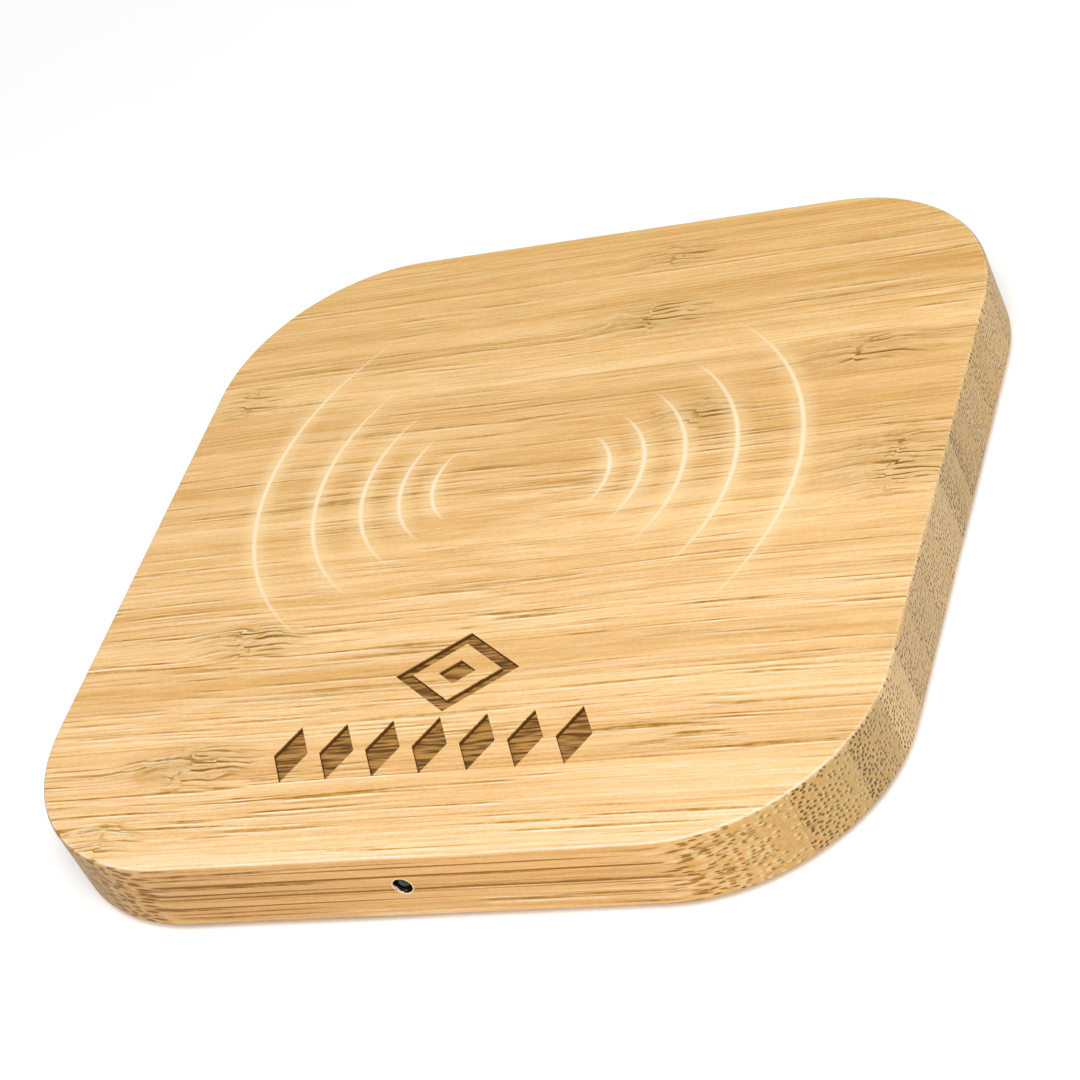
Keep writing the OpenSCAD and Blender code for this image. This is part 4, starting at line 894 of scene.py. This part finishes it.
# ---------------------------------------------------------------- base cover
# The underside: one injection moulding in black ABS, with the ring that carries the coil, the pegs of the
# board, the wall round the inlet, pockets for the feet and countersunk holes for the screws.
abs_black, tree, shader, place = start_material("moulded_black_abs")
# the mould is spark-eroded to a fine satin grain. Real grit is 0.05 mm, and it is drawn at 0.3 mm so that it
# shows. Ejector pins leave four smoother discs, and the gate a small one in the middle
grit_size = 0.3
eroded = node(tree, "TexVoronoi", "Distance", {"Vector": place, "Scale": 1 / grit_size}, feature="SMOOTH_F1")
flow = streaks(tree, place, (0.03, 0.05, 0.1), {"Detail": 3.0})
folded = node(tree, "VectorMath", 0, {0: place}, operation="ABSOLUTE")
ejector_at = 20.0
ejector_r = 2.0
gate_r = 1.2
disc_edge = 0.05
smooth_disc = 0.0
for disc_place, disc_at, disc_r in ((folded, ejector_at, ejector_r), (place, 0.0, gate_r)):
    disc = from_axis(tree, disc_place, (disc_at, disc_at, 0.0), (1.0, 1.0, 0.0))[1]
    disc = node(tree, "MapRange", 0, {"Value": disc, "From Min": disc_r + disc_edge,
                                      "From Max": disc_r - disc_edge})
    smooth_disc = node(tree, "Math", 0, {0: smooth_disc, 1: disc}, operation="MAXIMUM")
black = node(tree, "Mix", 2, {0: flow, 6: linear("#1c1c1e"), 7: linear("#29292b")}, data_type="RGBA")
grit_tone = node(tree, "MapRange", 0, {"Value": eroded, "From Max": 0.7, "To Min": 0.85, "To Max": 1.2})
black = node(tree, "VectorMath", 0, {0: black, 3: grit_tone}, operation="SCALE")
satin = node(tree, "MapRange", 0, {"Value": flow, "To Min": 0.5, "To Max": 0.62})
satin = node(tree, "Mix", 0, {0: smooth_disc, 2: satin, 3: 0.32})
grit_deep = node(tree, "MapRange", 0, {"Value": smooth_disc, "To Min": 1.0, "To Max": -1.5})
grit_height = node(tree, "Math", 0, {0: eroded, 1: grit_deep}, operation="MULTIPLY")
grit_height = node(tree, "Math", 0, {0: smooth_disc, 1: -1.5, 2: grit_height}, operation="MULTIPLY_ADD")
bump = node(tree, "Bump", 0, {"Height": grit_height, "Strength": 0.5, "Distance": 0.00004})
connect(tree, shader, {"Base Color": black, "Roughness": satin, "IOR": 1.53, "Normal": bump})
dress("base_cover", abs_black)

# ---------------------------------------------------------------- cover screws
# Four 2 mm countersunk wood screws with crossed slots, rolled from steel wire, zinc-plated and passivated.
screw_head_r = 1.9
screw_turned_gap = 0.16
screw_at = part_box("cover_screws")[1].x * 1000 - screw_head_r
zinc, tree, shader, place = start_material("zinc_plated_steel")
# passivating leaves bluish silver with a straw tinge, over turned rings on the heads
zinc_folded = node(tree, "VectorMath", 0, {0: place}, operation="ABSOLUTE")
zinc_reach = from_axis(tree, zinc_folded, (screw_at, screw_at, 0.0), (1.0, 1.0, 0.0))[1]
zinc_rings = waves(tree, zinc_reach, screw_turned_gap)
bloom = node(tree, "TexNoise", "Fac", {"Vector": place, "Scale": 0.9, "Detail": 4.0})
zinc_colour = node(tree, "Mix", 2, {0: bloom, 6: linear("#b9c0c8"), 7: linear("#d2cdb8")}, data_type="RGBA")
zinc_rough = node(tree, "MapRange", 0, {"Value": bloom, "To Min": 0.22, "To Max": 0.4})
bump = node(tree, "Bump", 0, {"Height": zinc_rings, "Strength": 0.3, "Distance": 0.00001})
connect(tree, shader, {"Base Color": zinc_colour, "Metallic": 1.0, "Roughness": zinc_rough, "Normal": bump})
dress("cover_screws", zinc)

# ---------------------------------------------------------------- rubber feet
# Four discs of moulded silicone rubber, glued in the cover's pockets so that the pad doesn't slip.
rubber, tree, shader, place = start_material("moulded_silicone_rubber")
# a matt charcoal skin with fine grain, which holds pale dust
skin = node(tree, "TexNoise", "Fac", {"Vector": place, "Scale": 5.0, "Detail": 4.0, "Roughness": 0.7})
dust = node(tree, "TexNoise", "Fac", {"Vector": place, "Scale": 1.1, "Detail": 5.0, "Roughness": 0.75})
dust = node(tree, "MapRange", 0, {"Value": dust, "From Min": 0.52, "From Max": 0.72, "To Max": 0.25})
rubber_colour = node(tree, "Mix", 2, {0: skin, 6: linear("#232325"), 7: linear("#333335")}, data_type="RGBA")
rubber_colour = node(tree, "Mix", 2, {0: dust, 6: rubber_colour, 7: linear("#8d8a84")}, data_type="RGBA")
rubber_rough = node(tree, "MapRange", 0, {"Value": skin, "To Min": 0.68, "To Max": 0.88})
bump = node(tree, "Bump", 0, {"Height": skin, "Strength": 0.3, "Distance": 0.00003})
connect(tree, shader, {"Base Color": rubber_colour, "Roughness": rubber_rough, "IOR": 1.42, "Normal": bump})
dress("rubber_feet", rubber)

# ---------------------------------------------------------------- floor and light
# A white studio table with a broad soft light in front of the pad and to its right, and a pale room.
bpy.ops.mesh.primitive_plane_add(size=6.0, location=(0, 0, 0))
floor = bpy.context.object
floor.name = "studio_floor"
paper, tree, shader, place = start_material("white_paper_sweep")
speck = node(tree, "TexNoise", "Fac", {"Vector": place, "Scale": 0.02, "Detail": 2.0})
shade = node(tree, "MapRange", 0, {"Value": speck, "To Min": 0.90, "To Max": 0.92})
# the sweep glows, a little by the pad and more farther out, against the soft box's fall-off, so that it shows
# pure white
far_out = node(tree, "VectorMath", "Value", {0: place}, operation="LENGTH")
glow = node(tree, "MapRange", 0, {"Value": far_out, "From Min": 80.0, "From Max": 400.0, "To Min": 0.10,
                                  "To Max": 0.22})
connect(tree, shader, {"Base Color": shade, "Roughness": 0.9, "Emission Color": (1.0, 1.0, 1.0, 1.0),
                       "Emission Strength": glow})
floor.data.materials.append(paper)

world = bpy.data.worlds.new("pale_room")
world.use_nodes = True
world.node_tree.nodes["Background"].inputs[0].default_value = (1.0, 1.0, 1.0, 1.0)
world.node_tree.nodes["Background"].inputs[1].default_value = 0.4
scene.world = world

light_data = bpy.data.lights.new("soft_box", "AREA")
light_data.shape = "DISK"
light_data.size = 0.55
light_data.energy = 6.6
light = bpy.data.objects.new("soft_box", light_data)
scene.collection.objects.link(light)
light.location = (0.27, -0.34, 0.70)
light.rotation_mode = "QUATERNION"
light.rotation_quaternion = (Vector((0, 0, 0)) - light.location).to_track_quat("-Z", "Y")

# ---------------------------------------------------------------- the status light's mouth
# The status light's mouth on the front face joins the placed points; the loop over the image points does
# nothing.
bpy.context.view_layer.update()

light_mouth = Vector(((light_low.x + light_high.x) / 2, light_low.y, light_high.z - pipe_r / 1000))
placed["status_light"] = light_mouth
for name, (point_x, point_y) in image_points.items():
    if name in placed:
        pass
    elif point_x is None:
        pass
    else:
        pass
